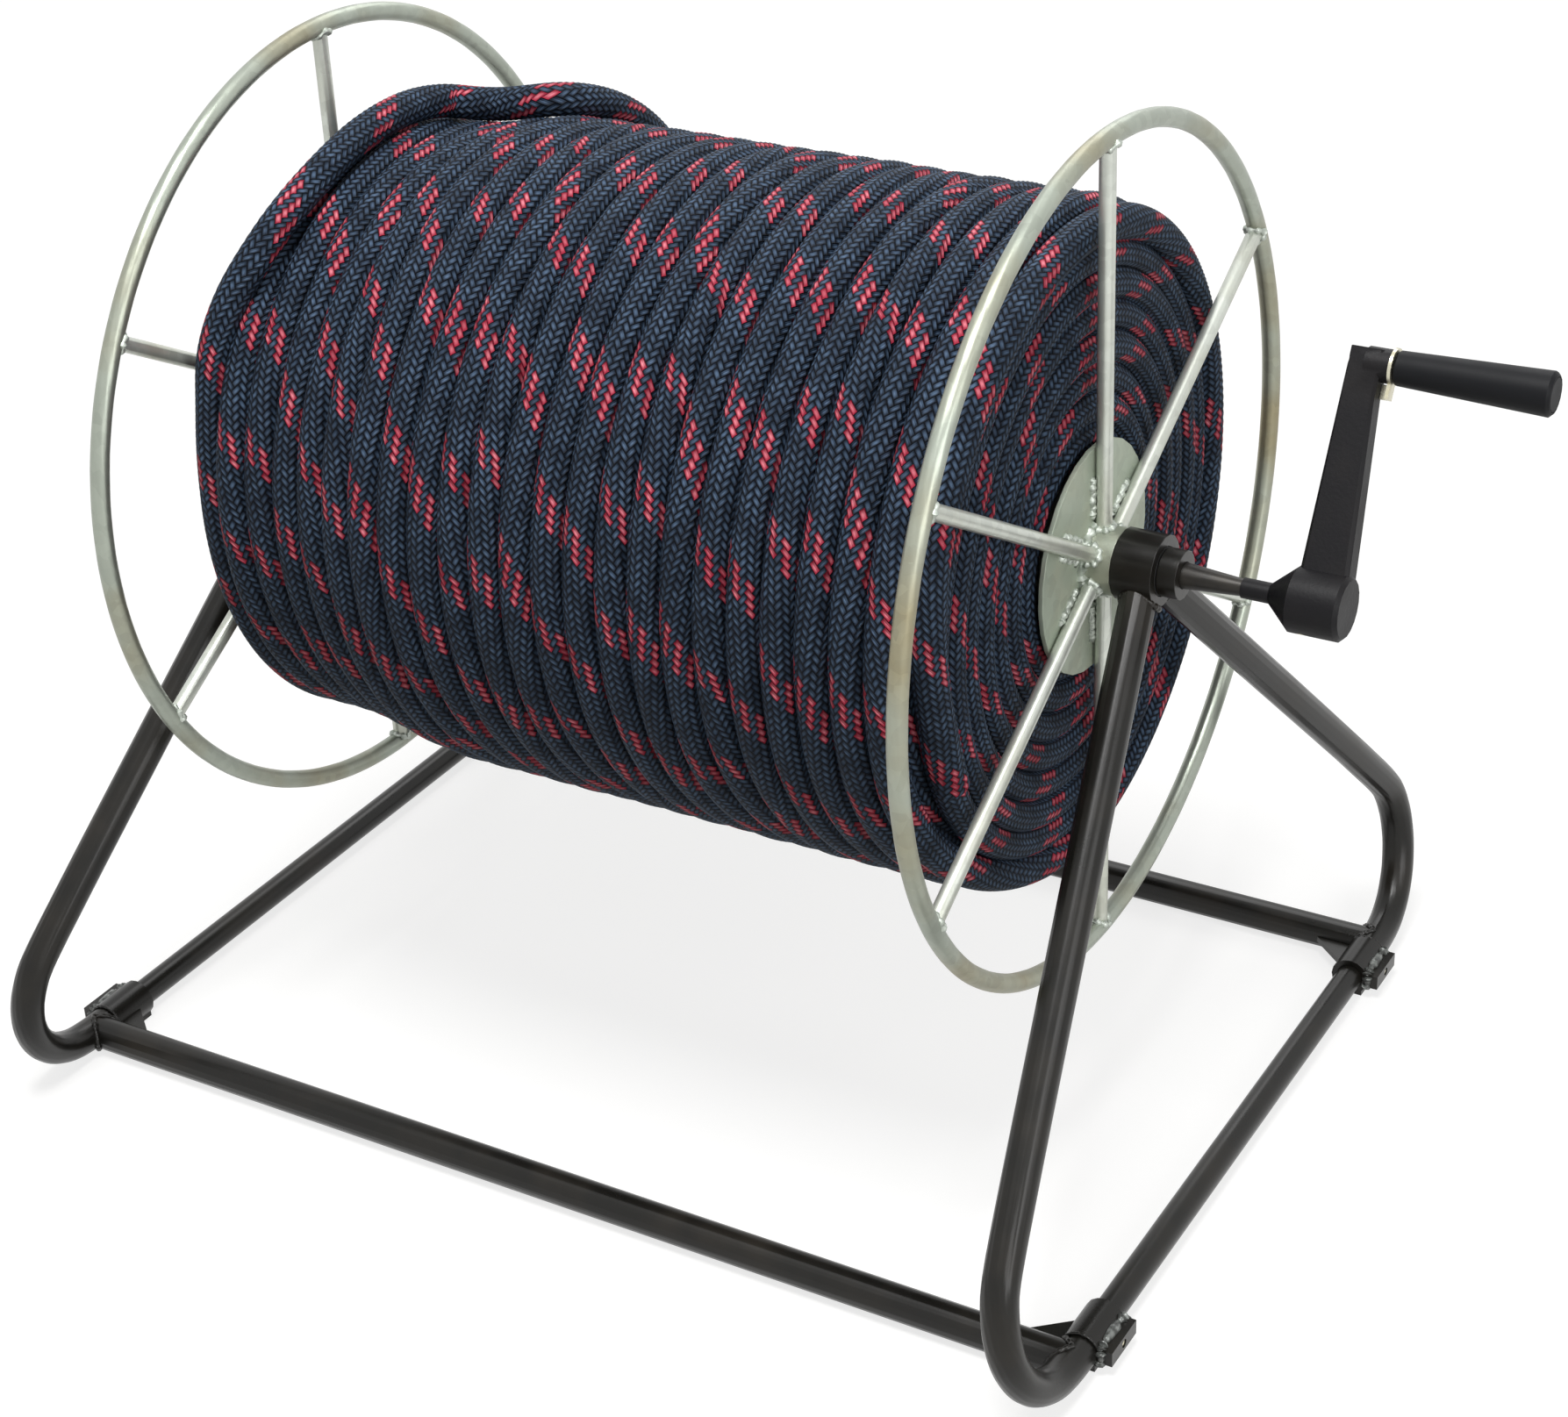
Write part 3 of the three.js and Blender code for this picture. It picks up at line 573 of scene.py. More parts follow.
def linked(name: str, data: bpy.types.ID) -> bpy.types.Object:
    """Makes an object and links it into the scene.

    Args:
        name: the object's name.
        data: its mesh, lamp or camera.

    Returns:
        The new object.
    """
    thing = bpy.data.objects.new(name, data)
    bpy.context.scene.collection.objects.link(thing)
    return thing


def settle(
    piece: bpy.types.Object,
    name: str,
    body: Body,
    material: bpy.types.Material,
    sharp_deg: float = 50.0,
) -> None:
    """Names a finished piece, dresses it and lets it ride on its body.

    Args:
        piece: the piece, with its place in its mesh.
        name: the piece's name.
        body: the body that it moves with.
        material: its finish.
        sharp_deg: the angle past which an edge stays sharp.
    """
    piece.name = name
    piece.data.name = name
    piece.data.materials.clear()
    piece.data.materials.append(material)
    select_only(piece)
    bpy.ops.object.shade_smooth_by_angle(angle=math.radians(sharp_deg))
    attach(piece, body.value)
    LOG.info("%s: %d faces", name, len(piece.data.polygons))


def smooth_step(value: np.ndarray | float) -> np.ndarray | float:
    """A rise from nought to one that starts and ends level."""
    t = np.clip(value, 0, 1)
    return t * t * (3 - 2 * t)


def unit(vector: Points) -> Points:
    """Vectors of length one, in the same directions."""
    return vector / np.linalg.norm(vector, axis=-1, keepdims=True)


def round_axle(x: np.ndarray, radius: np.ndarray | float, angle: np.ndarray) -> Points:
    """Points at places along the axle, at a radius and an angle about it."""
    return np.stack([x, radius * np.cos(angle), radius * np.sin(angle)], axis=1)


def ring_about(direction: Points, turn: np.ndarray) -> Points:
    """Points of a ring of radius one that stands square to a direction.

    Args:
        direction: a vector of length one.
        turn: the angle of each point.

    Returns:
        The points, one in each row.
    """
    first = unit(np.cross(direction, [1.0, 0, 0]))
    second = np.cross(direction, first)
    return np.outer(np.cos(turn), first) + np.outer(np.sin(turn), second)


def rings_along(tangent: Points, outward: Points, turn: np.ndarray) -> Points:
    """Directions of the points of a ring round each place of a line.

    Args:
        tangent: the line's direction at each place.
        outward: roughly the way in which each ring's first point lies.
        turn: the angles of the points, one row for each place or one for all.

    Returns:
        Vectors of length one, by place and point.
    """
    outward = unit(outward - tangent * np.sum(outward * tangent, axis=1, keepdims=True))
    aside = np.cross(tangent, outward)
    return outward[:, None] * np.cos(turn)[:, :, None] + aside[:, None] * np.sin(turn)[:, :, None]


# Places of the loose turn: how far round it is, how far across the pack, and how far up.
LOOSE_PLACE_SHARES = (
    (0, 0, 0),
    (0.095, 0, 0.12),
    (0.17, 0.012, 0.45),
    (0.234, 0.085, 0.8),
    (0.31, 0.18, 1),
    (0.405, 0.235, 1),
    (0.5, 0.245, 1),
    (0.576, 0.25, 1),
    (0.614, 0.28, 1),
    (0.636, 0.41, 1),
    (0.646, 0.55, 1),
    (0.646, 0.73, 1),
    (0.652, 0.87, 1),
    (0.677, 0.94, 1),
    (0.715, 0.98, 1),
    (0.766, 1, 1),
    (0.84, 1, 1),
    (0.92, 1, 1),
    (1, 1, 1),
)


@dataclass
class RopePath:
    """The line that the rope's outer layer and its loose last turn follow, in millimetres.

    Places are in the reel's own frame, with its middle on the axle. They repeat the solid's route.
    """

    spoke_inner: float
    diameter: float = 21.0
    turn_gap: float = 0.94
    flange_gap: float = 3.0
    far_gap: float = 7.0
    lift: float = 23.2
    drop: float = 19.0
    shift: float = 125.0
    pack_radius: float = 211.0
    left_fall_depth: float = 13.0
    left_fall_length: float = 90.0
    left_fall_end: float = 51.0
    last_turn_dip: float = 9.0
    right_fall_depth: float = 3.0
    right_fall_length: float = 21.0
    rise_turns: float = 0.125
    step_over_share: float = 0.2
    loose_turns: float = 0.439
    loose_from_turn: float = 175 / 360
    dip_turns: float = 0.2
    dip_fade_share: float = 0.3
    rest: float = 1.4
    samples_per_turn: int = 480
    loose_samples: int = 24

    @property
    def radius(self) -> float:
        """The rope's radius."""
        return self.diameter / 2

    @property
    def pitch(self) -> float:
        """From one turn to the next."""
        return self.diameter + self.turn_gap

    @property
    def start(self) -> float:
        """Where the first turn lies along the axle."""
        return self.spoke_inner - self.flange_gap - self.radius

    @property
    def end(self) -> float:
        """Where the last turn lies along the axle."""
        return self.far_gap + self.radius - self.spoke_inner

    @property
    def layer_turns(self) -> float:
        """How many turns the layer has."""
        return (self.start - self.end) / self.pitch

    def layer_radius(self, x: np.ndarray) -> np.ndarray:
        """The radius of the layer's centreline, which falls off towards both flanges.

        Args:
            x: places along the axle.

        Returns:
            The radii there.
        """
        level = self.pack_radius - self.radius
        left_start = self.end + self.left_fall_end + self.left_fall_length
        left = smooth_step((left_start - x) / self.left_fall_length)
        right = smooth_step((x + self.right_fall_length - self.start) / self.right_fall_length)
        return level - self.left_fall_depth * left - self.right_fall_depth * right

    def layer_x(self, turns: np.ndarray) -> np.ndarray:
        """Where the layer lies along the axle: it steps over at first and then runs as a helix.

        Args:
            turns: numbers of turns from the layer's start.

        Returns:
            The places along the axle.
        """
        whole = np.floor(turns)
        stepped = smooth_step((turns - whole - 1 + self.step_over_share) / self.step_over_share)
        helix = np.minimum(turns / self.layer_turns, 1)
        along = whole + stepped + (turns - whole - stepped) * helix
        return self.start - self.pitch * along

    def on_pack(self, turns: np.ndarray, x: np.ndarray, offset: np.ndarray) -> Points:
        """Points on the pack or over it.

        Args:
            turns: numbers of turns from the layer's start.
            x: places along the axle.
            offset: heights over the layer's centreline.

        Returns:
            The points, one in each row.
        """
        angle = TURN * (self.loose_from_turn + self.layer_turns - turns)
        return round_axle(x, self.layer_radius(x) + offset, angle)

    def layer(self) -> Points:
        """The layer's own points, from its rise at the crank side to the far flange.

        Returns:
            The points, one in each row.
        """
        turns = np.arange(0, self.layer_turns, 1 / self.samples_per_turn)
        drop = self.drop * (1 - smooth_step(turns / self.rise_turns))
        near_end = smooth_step((turns - self.layer_turns + self.dip_turns) / self.dip_turns)
        return self.on_pack(turns, self.layer_x(turns), -drop - self.last_turn_dip * near_end)

    def loose(self) -> Points:
        """The loose last turn's points: round the pack, across it and up.

        Returns:
            The points, one in each row.
        """
        places = through(np.array(LOOSE_PLACE_SHARES), self.loose_samples)
        x = self.end + self.shift * places[:, 1]
        dip = self.last_turn_dip * (1 - smooth_step(places[:, 0] / self.dip_fade_share))
        turns = self.layer_turns + self.loose_turns * places[:, 0]
        return self.on_pack(turns, x, (self.lift - self.rest) * places[:, 2] - dip)

    def whole(self) -> Points:
        """The whole line, with a straight diameter of rope at both ends.

        Returns:
            The points, one in each row.
        """
        line = np.concatenate([self.layer(), self.loose()])
        first = line[0] + unit(line[0] - line[1]) * self.diameter
        last = line[-1] + unit(line[-1] - line[-2]) * self.diameter
        return np.concatenate([[first], line, [last]])


def through(places: Points, steps: int) -> Points:
    """A centripetal Catmull-Rom curve through places.

    Args:
        places: the places, one in each row.
        steps: how many steps there are between two places.

    Returns:
        The curve's points.
    """
    ends = np.concatenate([[2 * places[0] - places[1]], places, [2 * places[-1] - places[-2]]])
    found = []
    for p0, p1, p2, p3 in zip(ends, ends[1:], ends[2:], ends[3:]):
        gaps = [math.sqrt(np.linalg.norm(b - a)) for a, b in ((p0, p1), (p1, p2), (p2, p3))]
        before = (p1 - p0) / gaps[0] - (p2 - p0) / (gaps[0] + gaps[1]) + (p2 - p1) / gaps[1]
        after = (p2 - p1) / gaps[1] - (p3 - p1) / (gaps[1] + gaps[2]) + (p3 - p2) / gaps[2]
        t = (np.arange(steps) / steps)[:, None]
        cubic = 2 * p1 - 2 * p2 + (before + after) * gaps[1]
        square = -3 * p1 + 3 * p2 - (2 * before + after) * gaps[1]
        found.append(p1 + before * gaps[1] * t + square * t**2 + cubic * t**3)
    return np.concatenate([*found, [places[-1]]])


def evenly(line: Points, step: float) -> Points:
    """Points at even distances along a line.

    Args:
        line: the line's points.
        step: the distance between two new points, which is rounded to fit.

    Returns:
        The new points.
    """
    lengths = np.linalg.norm(np.diff(line, axis=0), axis=1)
    reach = np.concatenate([[0], np.cumsum(lengths)])
    places = np.linspace(0, reach[-1], round(reach[-1] / step) + 1)
    return np.stack([np.interp(places, reach, line[:, axis]) for axis in range(3)], axis=1)


@dataclass
class BraidedTube:
    """A mesh tube with the relief of a braid, one corner and one crown for each stitch."""

    radius: float = 10.5
    sides: int = 32
    lead: float = 80.9
    relief: float = 0.4
    drift_turn: float = 0.24
    drift_length: float = 900.0
    second_drift_share: float = 0.6
    second_drift_pace: float = 2.3
    second_drift_start: float = 1.0

    @property
    def step(self) -> float:
        """The distance between two rings of the tube."""
        return self.lead / self.sides

    def mesh(self, name: str, line: Points, first_ring: int, closed: bool) -> bpy.types.Object:
        """Makes the tube along a line of rings, outward from the axle.

        Args:
            name: the object's name.
            line: the rings' middles in the reel's frame, in millimetres.
            first_ring: the number of the first ring along the whole rope.
            closed: whether the last ring meets the first.

        Returns:
            The new object, with its place in its mesh.
        """
        around = np.gradient(line, axis=0)
        if closed:
            around = np.roll(line, -1, axis=0) - np.roll(line, 1, axis=0)
        tangent = unit(around)
        count = len(line)
        ring = np.arange(count) + first_ring
        stitch = np.arange(self.sides)
        turn = TURN * stitch[None, :] / self.sides + self.drift(ring, closed)[:, None]
        crowned = (ring[:, None] + stitch[None, :]) % 2
        radius = self.radius - self.relief / 2 + self.relief * (crowned - 0.5)
        spread = rings_along(tangent, line * np.array([0, 1, 1]), turn)
        points = (line[:, None] + spread * radius[:, :, None]).reshape(-1, 3)
        rows = np.arange(count if closed else count - 1)
        i, j = np.meshgrid(rows, stitch, indexing="ij")
        # Each face starts at its ring and stitch and goes round over the next of both.
        polygons, corners = [], []
        for along, beside in ((1, 0), (1, 1), (0, 1), (0, 0)):
            polygons.append((i + along) % count * self.sides + (j + beside) % self.sides)
            corners.append(np.stack([j + beside, i + along + first_ring], -1))
        polygons = np.stack(polygons, axis=-1).reshape(-1, 4).tolist()
        corners = np.stack(corners, axis=2).reshape(-1, 2) / self.sides
        if not closed:
            points, polygons, corners = self.capped(points, polygons, corners, line, tangent)
        data = bpy.data.meshes.new(name)
        data.from_pydata((points * MM + REEL_MIDDLE).tolist(), [], polygons)
        layer = data.uv_layers.new(name=BRAID_MAP)
        layer.data.foreach_set("uv", corners.astype(np.float32).ravel())
        data.validate()
        return linked(name, data)

    def drift(self, ring: np.ndarray, closed: bool) -> np.ndarray:
        """How far the braid has turned about the rope's own line at each ring.

        Args:
            ring: the rings' numbers along the rope.
            closed: whether the last ring meets the first, which rules the drift out.

        Returns:
            The angles.
        """
        if closed:
            return ring * 0.0
        way = TURN * (ring * self.step / self.drift_length)
        second = np.sin(way * self.second_drift_pace + self.second_drift_start)
        return TURN * self.drift_turn * (np.sin(way) + self.second_drift_share * second)

    def capped(
        self, points: Points, polygons: list, corners: Points, line: Points, tangent: Points
    ) -> tuple[Points, list, Points]:
        """Closes both ends of a tube with a low cone.

        Args:
            points: the tube's points.
            polygons: its faces.
            corners: the map of its faces' corners.
            line: the rings' middles.
            tangent: the directions of the line.

        Returns:
            Points, faces and map with the two ends added.
        """
        poles = [line[0] - tangent[0] * self.relief, line[-1] + tangent[-1] * self.relief]
        last = (len(line) - 1) * self.sides
        pole_index = len(points)
        extra = []
        for j in range(self.sides):
            beside = (j + 1) % self.sides
            polygons.append([pole_index, j, beside])
            polygons.append([pole_index + 1, last + beside, last + j])
            extra.extend([[0, 0]] * 6)
        return np.concatenate([points, poles]), polygons, np.concatenate([corners, extra])


REEL_MIDDLE = np.array([middle("drum_tube").x, 0, middle("drum_tube").z])


@dataclass
class WoundRope:
    """The rope on the reel: its outer layer with the loose turn, and what shows below it."""

    sections: int = 4
    sharp_deg: float = 75.0
    layer_rise: float = 18.2
    end_turns: int = 7
    left_end_turns: int = 6
    end_stand_in: float = 1.5
    drum_clearance: float = 0.5
    under_sides: int = 12
    under_step: float = 8.0
    under_dip_from: float = 40.0
    under_dip_length: float = 30.0
    inner_places: int = 60
    inner_steps: int = 48
    merge_distance: float = 0.01
    sway: float = 1.6
    seed: int = 11
    ring_choices: int = 64
    pressed: float = 0.4
    unrest: float = 0.5
    unrest_places: int = 260
    unrest_window: int = 49
    twine: float = 1.3
    twine_sides: int = 8
    twine_turns: int = 14
    twine_steps: int = 40
    twine_stand_off: float = 0.325
    path: RopePath = field(init=False)

    def __post_init__(self) -> None:
        """Lays the rope's route between the spokes of the two flanges."""
        low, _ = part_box("spoke_right_1")
        self.path = RopePath(spoke_inner=(low.x - REEL_MIDDLE[0]) / MM)

    @property
    def wave(self) -> float:
        """How far an end turn strays in and out from the axle."""
        return self.sway / 3

    def build(self, rope: bpy.types.Material, twine: bpy.types.Material) -> None:
        """Builds every piece of the rope.

        Args:
            rope: the braid's finish.
            twine: the whipping's finish.
        """
        self.outer_layer(rope)
        self.layer_below(rope)
        self.end_faces(rope)
        self.inner_turns(rope)
        self.whipping(twine)

    def outer_layer(self, rope: bpy.types.Material) -> None:
        """Builds the outer layer in sections that meet ring on ring.

        Args:
            rope: the braid's finish.
        """
        tube = BraidedTube(self.path.radius + self.pressed)
        line = self.unsettled(evenly(self.path.whole(), tube.step))
        bounds = np.linspace(0, len(line) - 1, self.sections + 1).astype(int)
        for number, (first, last) in enumerate(zip(bounds, bounds[1:]), start=1):
            name = f"rope_layer_{number}"
            piece = tube.mesh(name, line[first : last + 1], int(first), False)
            settle(piece, name, Body.REEL, rope, self.sharp_deg)
            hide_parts("rope_winding")

    def unsettled(self, line: Points) -> Points:
        """The same line with the small unevenness of rope that was wound by hand.

        Args:
            line: the rope's line.

        Returns:
            The line, a little farther out or in from place to place.
        """
        draws = np.random.default_rng(self.seed)
        places = np.linspace(0, 1, len(line))
        knots = np.linspace(0, 1, self.unrest_places)
        outward = unit(line * np.array([0, 1, 1]))
        rise = np.interp(places, knots, draws.uniform(-1, 1, len(knots)))
        window = np.ones(self.unrest_window) / self.unrest_window
        padded = np.pad(rise, self.unrest_window // 2, mode="edge")
        rise = np.convolve(padded, window, mode="valid") * self.unrest
        return line + outward * rise[:, None]

    def layer_below(self, rope: bpy.types.Material) -> None:
        """Builds the next layer, which shows only in the grooves between the outer turns.

        Args:
            rope: the braid's finish.
        """
        path = self.path
        start, end = path.start - path.pitch / 2, path.end + path.pitch / 2
        turns = (start - end) / path.pitch
        t = np.linspace(0, 1, int(turns * path.samples_per_turn))
        x = start + (end - start) * t
        near_end = smooth_step((path.end + self.under_dip_from - x) / self.under_dip_length)
        radius = path.layer_radius(x) - self.layer_rise - path.last_turn_dip * near_end
        line = evenly(round_axle(x, radius, TURN * turns * t), self.under_step)
        tube = BraidedTube(path.radius, sides=self.under_sides, relief=0.0)
        piece = tube.mesh("rope_layer_below", line, 0, False)
        settle(piece, "rope_layer_below", Body.REEL, rope, self.sharp_deg)

    def end_faces(self, rope: bpy.types.Material) -> None:
        """Builds the last turn of each layer, which shows through the spokes.

        Args:
            rope: the braid's finish.
        """
        path = self.path
        tube = BraidedTube(path.radius - self.wave)
        draws = np.random.default_rng(self.seed)
        left_radius = path.pack_radius - path.radius - path.left_fall_depth - path.last_turn_dip
        right_radius = path.pack_radius - path.radius - path.right_fall_depth
        for side, edge, top, count in (
            (Side.RIGHT, path.start, right_radius, self.end_turns),
            (Side.LEFT, path.end, left_radius, self.left_end_turns),
        ):
            for number in range(1, count + 1):
                radius = top - self.layer_rise * number
                rings = max(round(TURN * radius / tube.lead), 1) * tube.sides
                angle = -TURN * np.arange(rings) / rings
                phase = draws.uniform(0, TURN, 3)
                first_ring = int(draws.integers(self.ring_choices)) * 2
                sway = self.sway * (1 + np.sin(angle + phase[0])) / 2
                x = edge - side.value * (self.end_stand_in * (1 + number % 2) + sway)
                wave = self.wave * np.sin(2 * angle + phase[1])
                name = f"rope_end_turn_{side.word}_{number}"
                piece = tube.mesh(name, round_axle(x, radius + wave, angle), first_ring, True)
                settle(piece, name, Body.REEL, rope, self.sharp_deg)

    def inner_turns(self, rope: bpy.types.Material) -> None:
        """Builds the turns that nothing shows of, as one ring between the end faces.

        Args:
            rope: the braid's finish.
        """
        path = self.path
        bore = (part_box("drum_tube")[1].z - REEL_MIDDLE[2]) / MM + self.drum_clearance
        xs = np.linspace(path.end + path.radius, path.start - path.radius, self.inner_places)
        radius = path.layer_radius(xs) - self.layer_rise - path.last_turn_dip
        outline = [(xs[0], bore), *zip(xs, radius), (xs[-1], bore)]
        corners = [(x * MM, 0, out * MM) for x, out in outline]
        data = bpy.data.meshes.new("rope_inner_turns")
        data.from_pydata(corners, [(i, i + 1) for i in range(len(corners) - 1)], [])
        piece = linked("rope_inner_turns", data)
        select_only(piece)
        bpy.ops.object.mode_set(mode="EDIT")
        bpy.ops.mesh.select_all(action="SELECT")
        bpy.ops.mesh.edge_face_add()
        bpy.ops.mesh.select_all(action="SELECT")
        bpy.ops.mesh.delete(type="ONLY_FACE")
        bpy.ops.mesh.select_all(action="SELECT")
        bpy.ops.mesh.spin(steps=self.inner_steps, angle=TURN, center=(0, 0, 0), axis=(1, 0, 0))
        bpy.ops.mesh.select_all(action="SELECT")
        bpy.ops.mesh.remove_doubles(threshold=self.merge_distance * MM)
        bpy.ops.mesh.normals_make_consistent(inside=False)
        bpy.ops.object.mode_set(mode="OBJECT")
        piece.data.transform(Matrix.Translation(Vector(REEL_MIDDLE)))
        piece.data.uv_layers.new(name=BRAID_MAP)
        settle(piece, "rope_inner_turns", Body.REEL, rope)
        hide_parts("rope_core")

    def whipping(self, twine: bpy.types.Material) -> None:
        """Winds the twine round the rope's loose end.

        Args:
            twine: the whipping's finish.
        """
        line = self.path.whole()
        direction = unit(line[-1] - line[-2])
        share = np.linspace(0, 1, self.twine_turns * self.twine_steps + 1)
        reach = self.path.radius + self.pressed + self.twine_stand_off
        round_rope = ring_about(direction, TURN * self.twine_turns * share)
        back = self.twine * (1 + self.twine_turns * share)
        coil = line[-1] + round_rope * reach - np.outer(back, direction)
        tube = BraidedTube(self.twine / 2, sides=self.twine_sides, relief=0.0)
        piece = tube.mesh("rope_whipping", coil, 0, False)
        settle(piece, "rope_whipping", Body.REEL, twine)


@dataclass(frozen=True)
class WeldBead:
    """A closed bead of weld metal with the ripples that the torch leaves, in millimetres."""

    height: float
    ripple_length: float
    ripple_share: float = 0.18
    sides: int = 8
    rings: int = 72
    least_ripples: int = 3

    @property
    def turns(self) -> np.ndarray:
        """How far round the bead each of its rings lies, as an angle."""
        return TURN * (np.arange(self.rings) / self.rings)

    def along(self, line: Points, seed: int) -> bpy.types.Object:
        """Lays a bead along a closed line.

        Args:
            line: the middles of the bead's rings.
            seed: what the bead's unevenness starts from.

        Returns:
            The bead, with its place in its mesh.
        """
        from_middle = line - line.mean(axis=0)
        deselect()
        bpy.ops.mesh.primitive_torus_add(
            major_segments=self.rings,
            minor_segments=self.sides,
            major_radius=float(np.linalg.norm(from_middle, axis=1).mean()) * MM,
            minor_radius=self.height * MM,
        )
        bead = bpy.context.object
        tangent = unit(np.roll(line, -1, axis=0) - np.roll(line, 1, axis=0))
        length = np.linalg.norm(np.roll(line, -1, axis=0) - line, axis=1).sum()
        ripples = max(round(length / self.ripple_length), self.least_ripples)
        draws = np.random.default_rng(seed)
        uneven = draws.uniform(-self.ripple_share, self.ripple_share, self.rings) / 2
        swell = 1 + self.ripple_share * np.sin(ripples * self.turns) + uneven
        turn = TURN * np.arange(self.sides) / self.sides
        spread = rings_along(tangent, from_middle, turn[None, :])
        points = line[:, None] + spread * (self.height * swell)[:, None, None]
        bead.data.vertices.foreach_set("co", (points * MM).astype(np.float32).ravel())
        bead.data.update()
        bead.matrix_world = Matrix.Identity(4)
        select_only(bead)
        bpy.ops.object.mode_set(mode="EDIT")
        bpy.ops.mesh.select_all(action="SELECT")
        bpy.ops.mesh.normals_make_consistent(inside=False)
        bpy.ops.object.mode_set(mode="OBJECT")
        return bead


def copied(piece: bpy.types.Object, name: str, matrix: Matrix) -> bpy.types.Object:
    """Copies a finished piece with its own mesh, moved by a matrix.

    Args:
        piece: the piece to copy.
        name: the copy's name.
        matrix: turns, moves or mirrors the copy's mesh.

    Returns:
        The copy.
    """
    copy = piece.copy()
    copy.data = piece.data.copy()
    copy.name = name
    copy.data.name = name
    copy.data.transform(matrix)
    if matrix.determinant() < 0:
        copy.data.flip_normals()
    bpy.context.scene.collection.objects.link(copy)
    return copy


@dataclass
class Flanges:
    """The reel's two spoked flanges: the weld beads at the rims and round the hubs."""

    spoke_count: int = 6
    first_spoke_turn: float = 1 / 12
    rim_bar: float = 6.0
    spoke_bar: float = 5.0
    bead_stand_off: float = 0.5
    spoke_bead: WeldBead = WeldBead(height=2.1, ripple_length=4.5, ripple_share=0.3, rings=40)
    disc_bead: WeldBead = WeldBead(height=3.4, ripple_length=6.0, ripple_share=0.4)
    foot_bead: WeldBead = WeldBead(height=2.2, ripple_length=6.0, ripple_share=0.3, rings=64)
    foot_middle: float = 41.0
    foot_half_length: float = 12.0
    foot_half_width: float = 0.6
    spoke_seed: int = 40
    disc_seed: int = 70

    @property
    def rim_radius(self) -> float:
        """From the axle to the middle of the rim's bar."""
        low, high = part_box("rim_right")
        return (high.z - low.z) / 2 / MM - self.rim_bar

    @property
    def sleeve_radius(self) -> float:
        """The hub sleeve's radius."""
        low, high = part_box("hub_sleeve_right")
        return (high.z - low.z) / 2 / MM

    def build(self, weld: bpy.types.Material) -> None:
        """Lays the beads of both flanges.

        Args:
            weld: the weld metal.
        """
        origin = Vector(REEL_MIDDLE)
        for side in Side:
            flange = middle(f"rim_{side.word}").x / MM
            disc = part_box(f"hub_disc_{side.word}")[1 if side is Side.RIGHT else 0].x / MM
            runs = {
                "rim": (self.spoke_bead, self.round_spoke(flange, at_rim=True)),
                "hub": (self.spoke_bead, self.round_spoke(flange, at_rim=False)),
                "foot_before": (self.foot_bead, self.beside_spoke(disc, -1)),
                "foot_after": (self.foot_bead, self.beside_spoke(disc, 1)),
            }
            for seed, (where, (bead, line)) in enumerate(runs.items(), start=self.spoke_seed):
                first = bead.along(line, seed + side.value)
                for number in range(self.spoke_count):
                    turn = Matrix.Rotation(TURN * number / self.spoke_count, 4, "X")
                    place = Matrix.Translation(origin) @ turn @ Matrix.Translation(-origin)
                    name = f"weld_{where}_{side.word}_{number + 1}"
                    settle(copied(first, name, place), name, Body.REEL, weld)
                bpy.data.objects.remove(first)
            bead = self.disc_bead.along(self.round_hub(disc), self.disc_seed + side.value)
            settle(bead, f"weld_disc_{side.word}", Body.REEL, weld)

    def near_spoke(self, x: float, out: np.ndarray, aside: np.ndarray, across: np.ndarray) -> Points:
        """Points near the first spoke.

        Args:
            x: a place along the axle.
            out: how far the points lie from the axle, along the spoke.
            aside: how far they lie to its side, round the axle.
            across: how far they lie from x, along the axle.

        Returns:
            The points, one in each row.
        """
        turn = TURN * self.first_spoke_turn
        outward = np.array([0, math.cos(turn), math.sin(turn)])
        tangential = np.array([0, -math.sin(turn), math.cos(turn)])
        origin = np.array([x, 0, REEL_MIDDLE[2] / MM])
        return origin + np.outer(out, outward) + np.outer(aside, tangential) + np.outer(across, [1, 0, 0])

    def round_spoke(self, flange: float, at_rim: bool) -> Points:
        """The line round the first spoke where it meets another bar.

        Args:
            flange: where the flange's middle lies along the axle.
            at_rim: whether the other bar is the rim, or else the hub sleeve.

        Returns:
            The line's points.
        """
        radius = self.spoke_bar + self.bead_stand_off
        across, aside = radius * np.cos(self.spoke_bead.turns), radius * np.sin(self.spoke_bead.turns)
        if at_rim:
            inner = self.rim_radius - np.sqrt(np.maximum(self.rim_bar**2 - across**2, 0))
            out = np.sqrt(inner**2 - aside**2) - self.bead_stand_off
        else:
            out = np.sqrt(self.sleeve_radius**2 - aside**2) + self.bead_stand_off
        return self.near_spoke(flange, out, aside, across)

    def beside_spoke(self, disc: float, hand: int) -> Points:
        """The line of the run that joins the first spoke to the disc, a narrow oval.

        Args:
            disc: where the disc's outer face lies along the axle.
            hand: one for the side after the spoke, and minus one for the side before it.

        Returns:
            The line's points.
        """
        out = self.foot_middle + self.foot_half_length * np.cos(self.foot_bead.turns)
        wide = self.foot_half_width * np.sin(self.foot_bead.turns)
        aside = hand * (self.spoke_bar + self.foot_half_width + wide)
        return self.near_spoke(disc, out, aside, aside * 0)

    def round_hub(self, disc: float) -> Points:
        """The line round the hub sleeve on the disc's outer face.

        Args:
            disc: where the disc's outer face lies along the axle.

        Returns:
            The line's points.
        """
        turns = self.disc_bead.turns
        origin = np.array([disc, 0, REEL_MIDDLE[2] / MM])
        return origin + round_axle(turns * 0, self.sleeve_radius + self.bead_stand_off, turns)


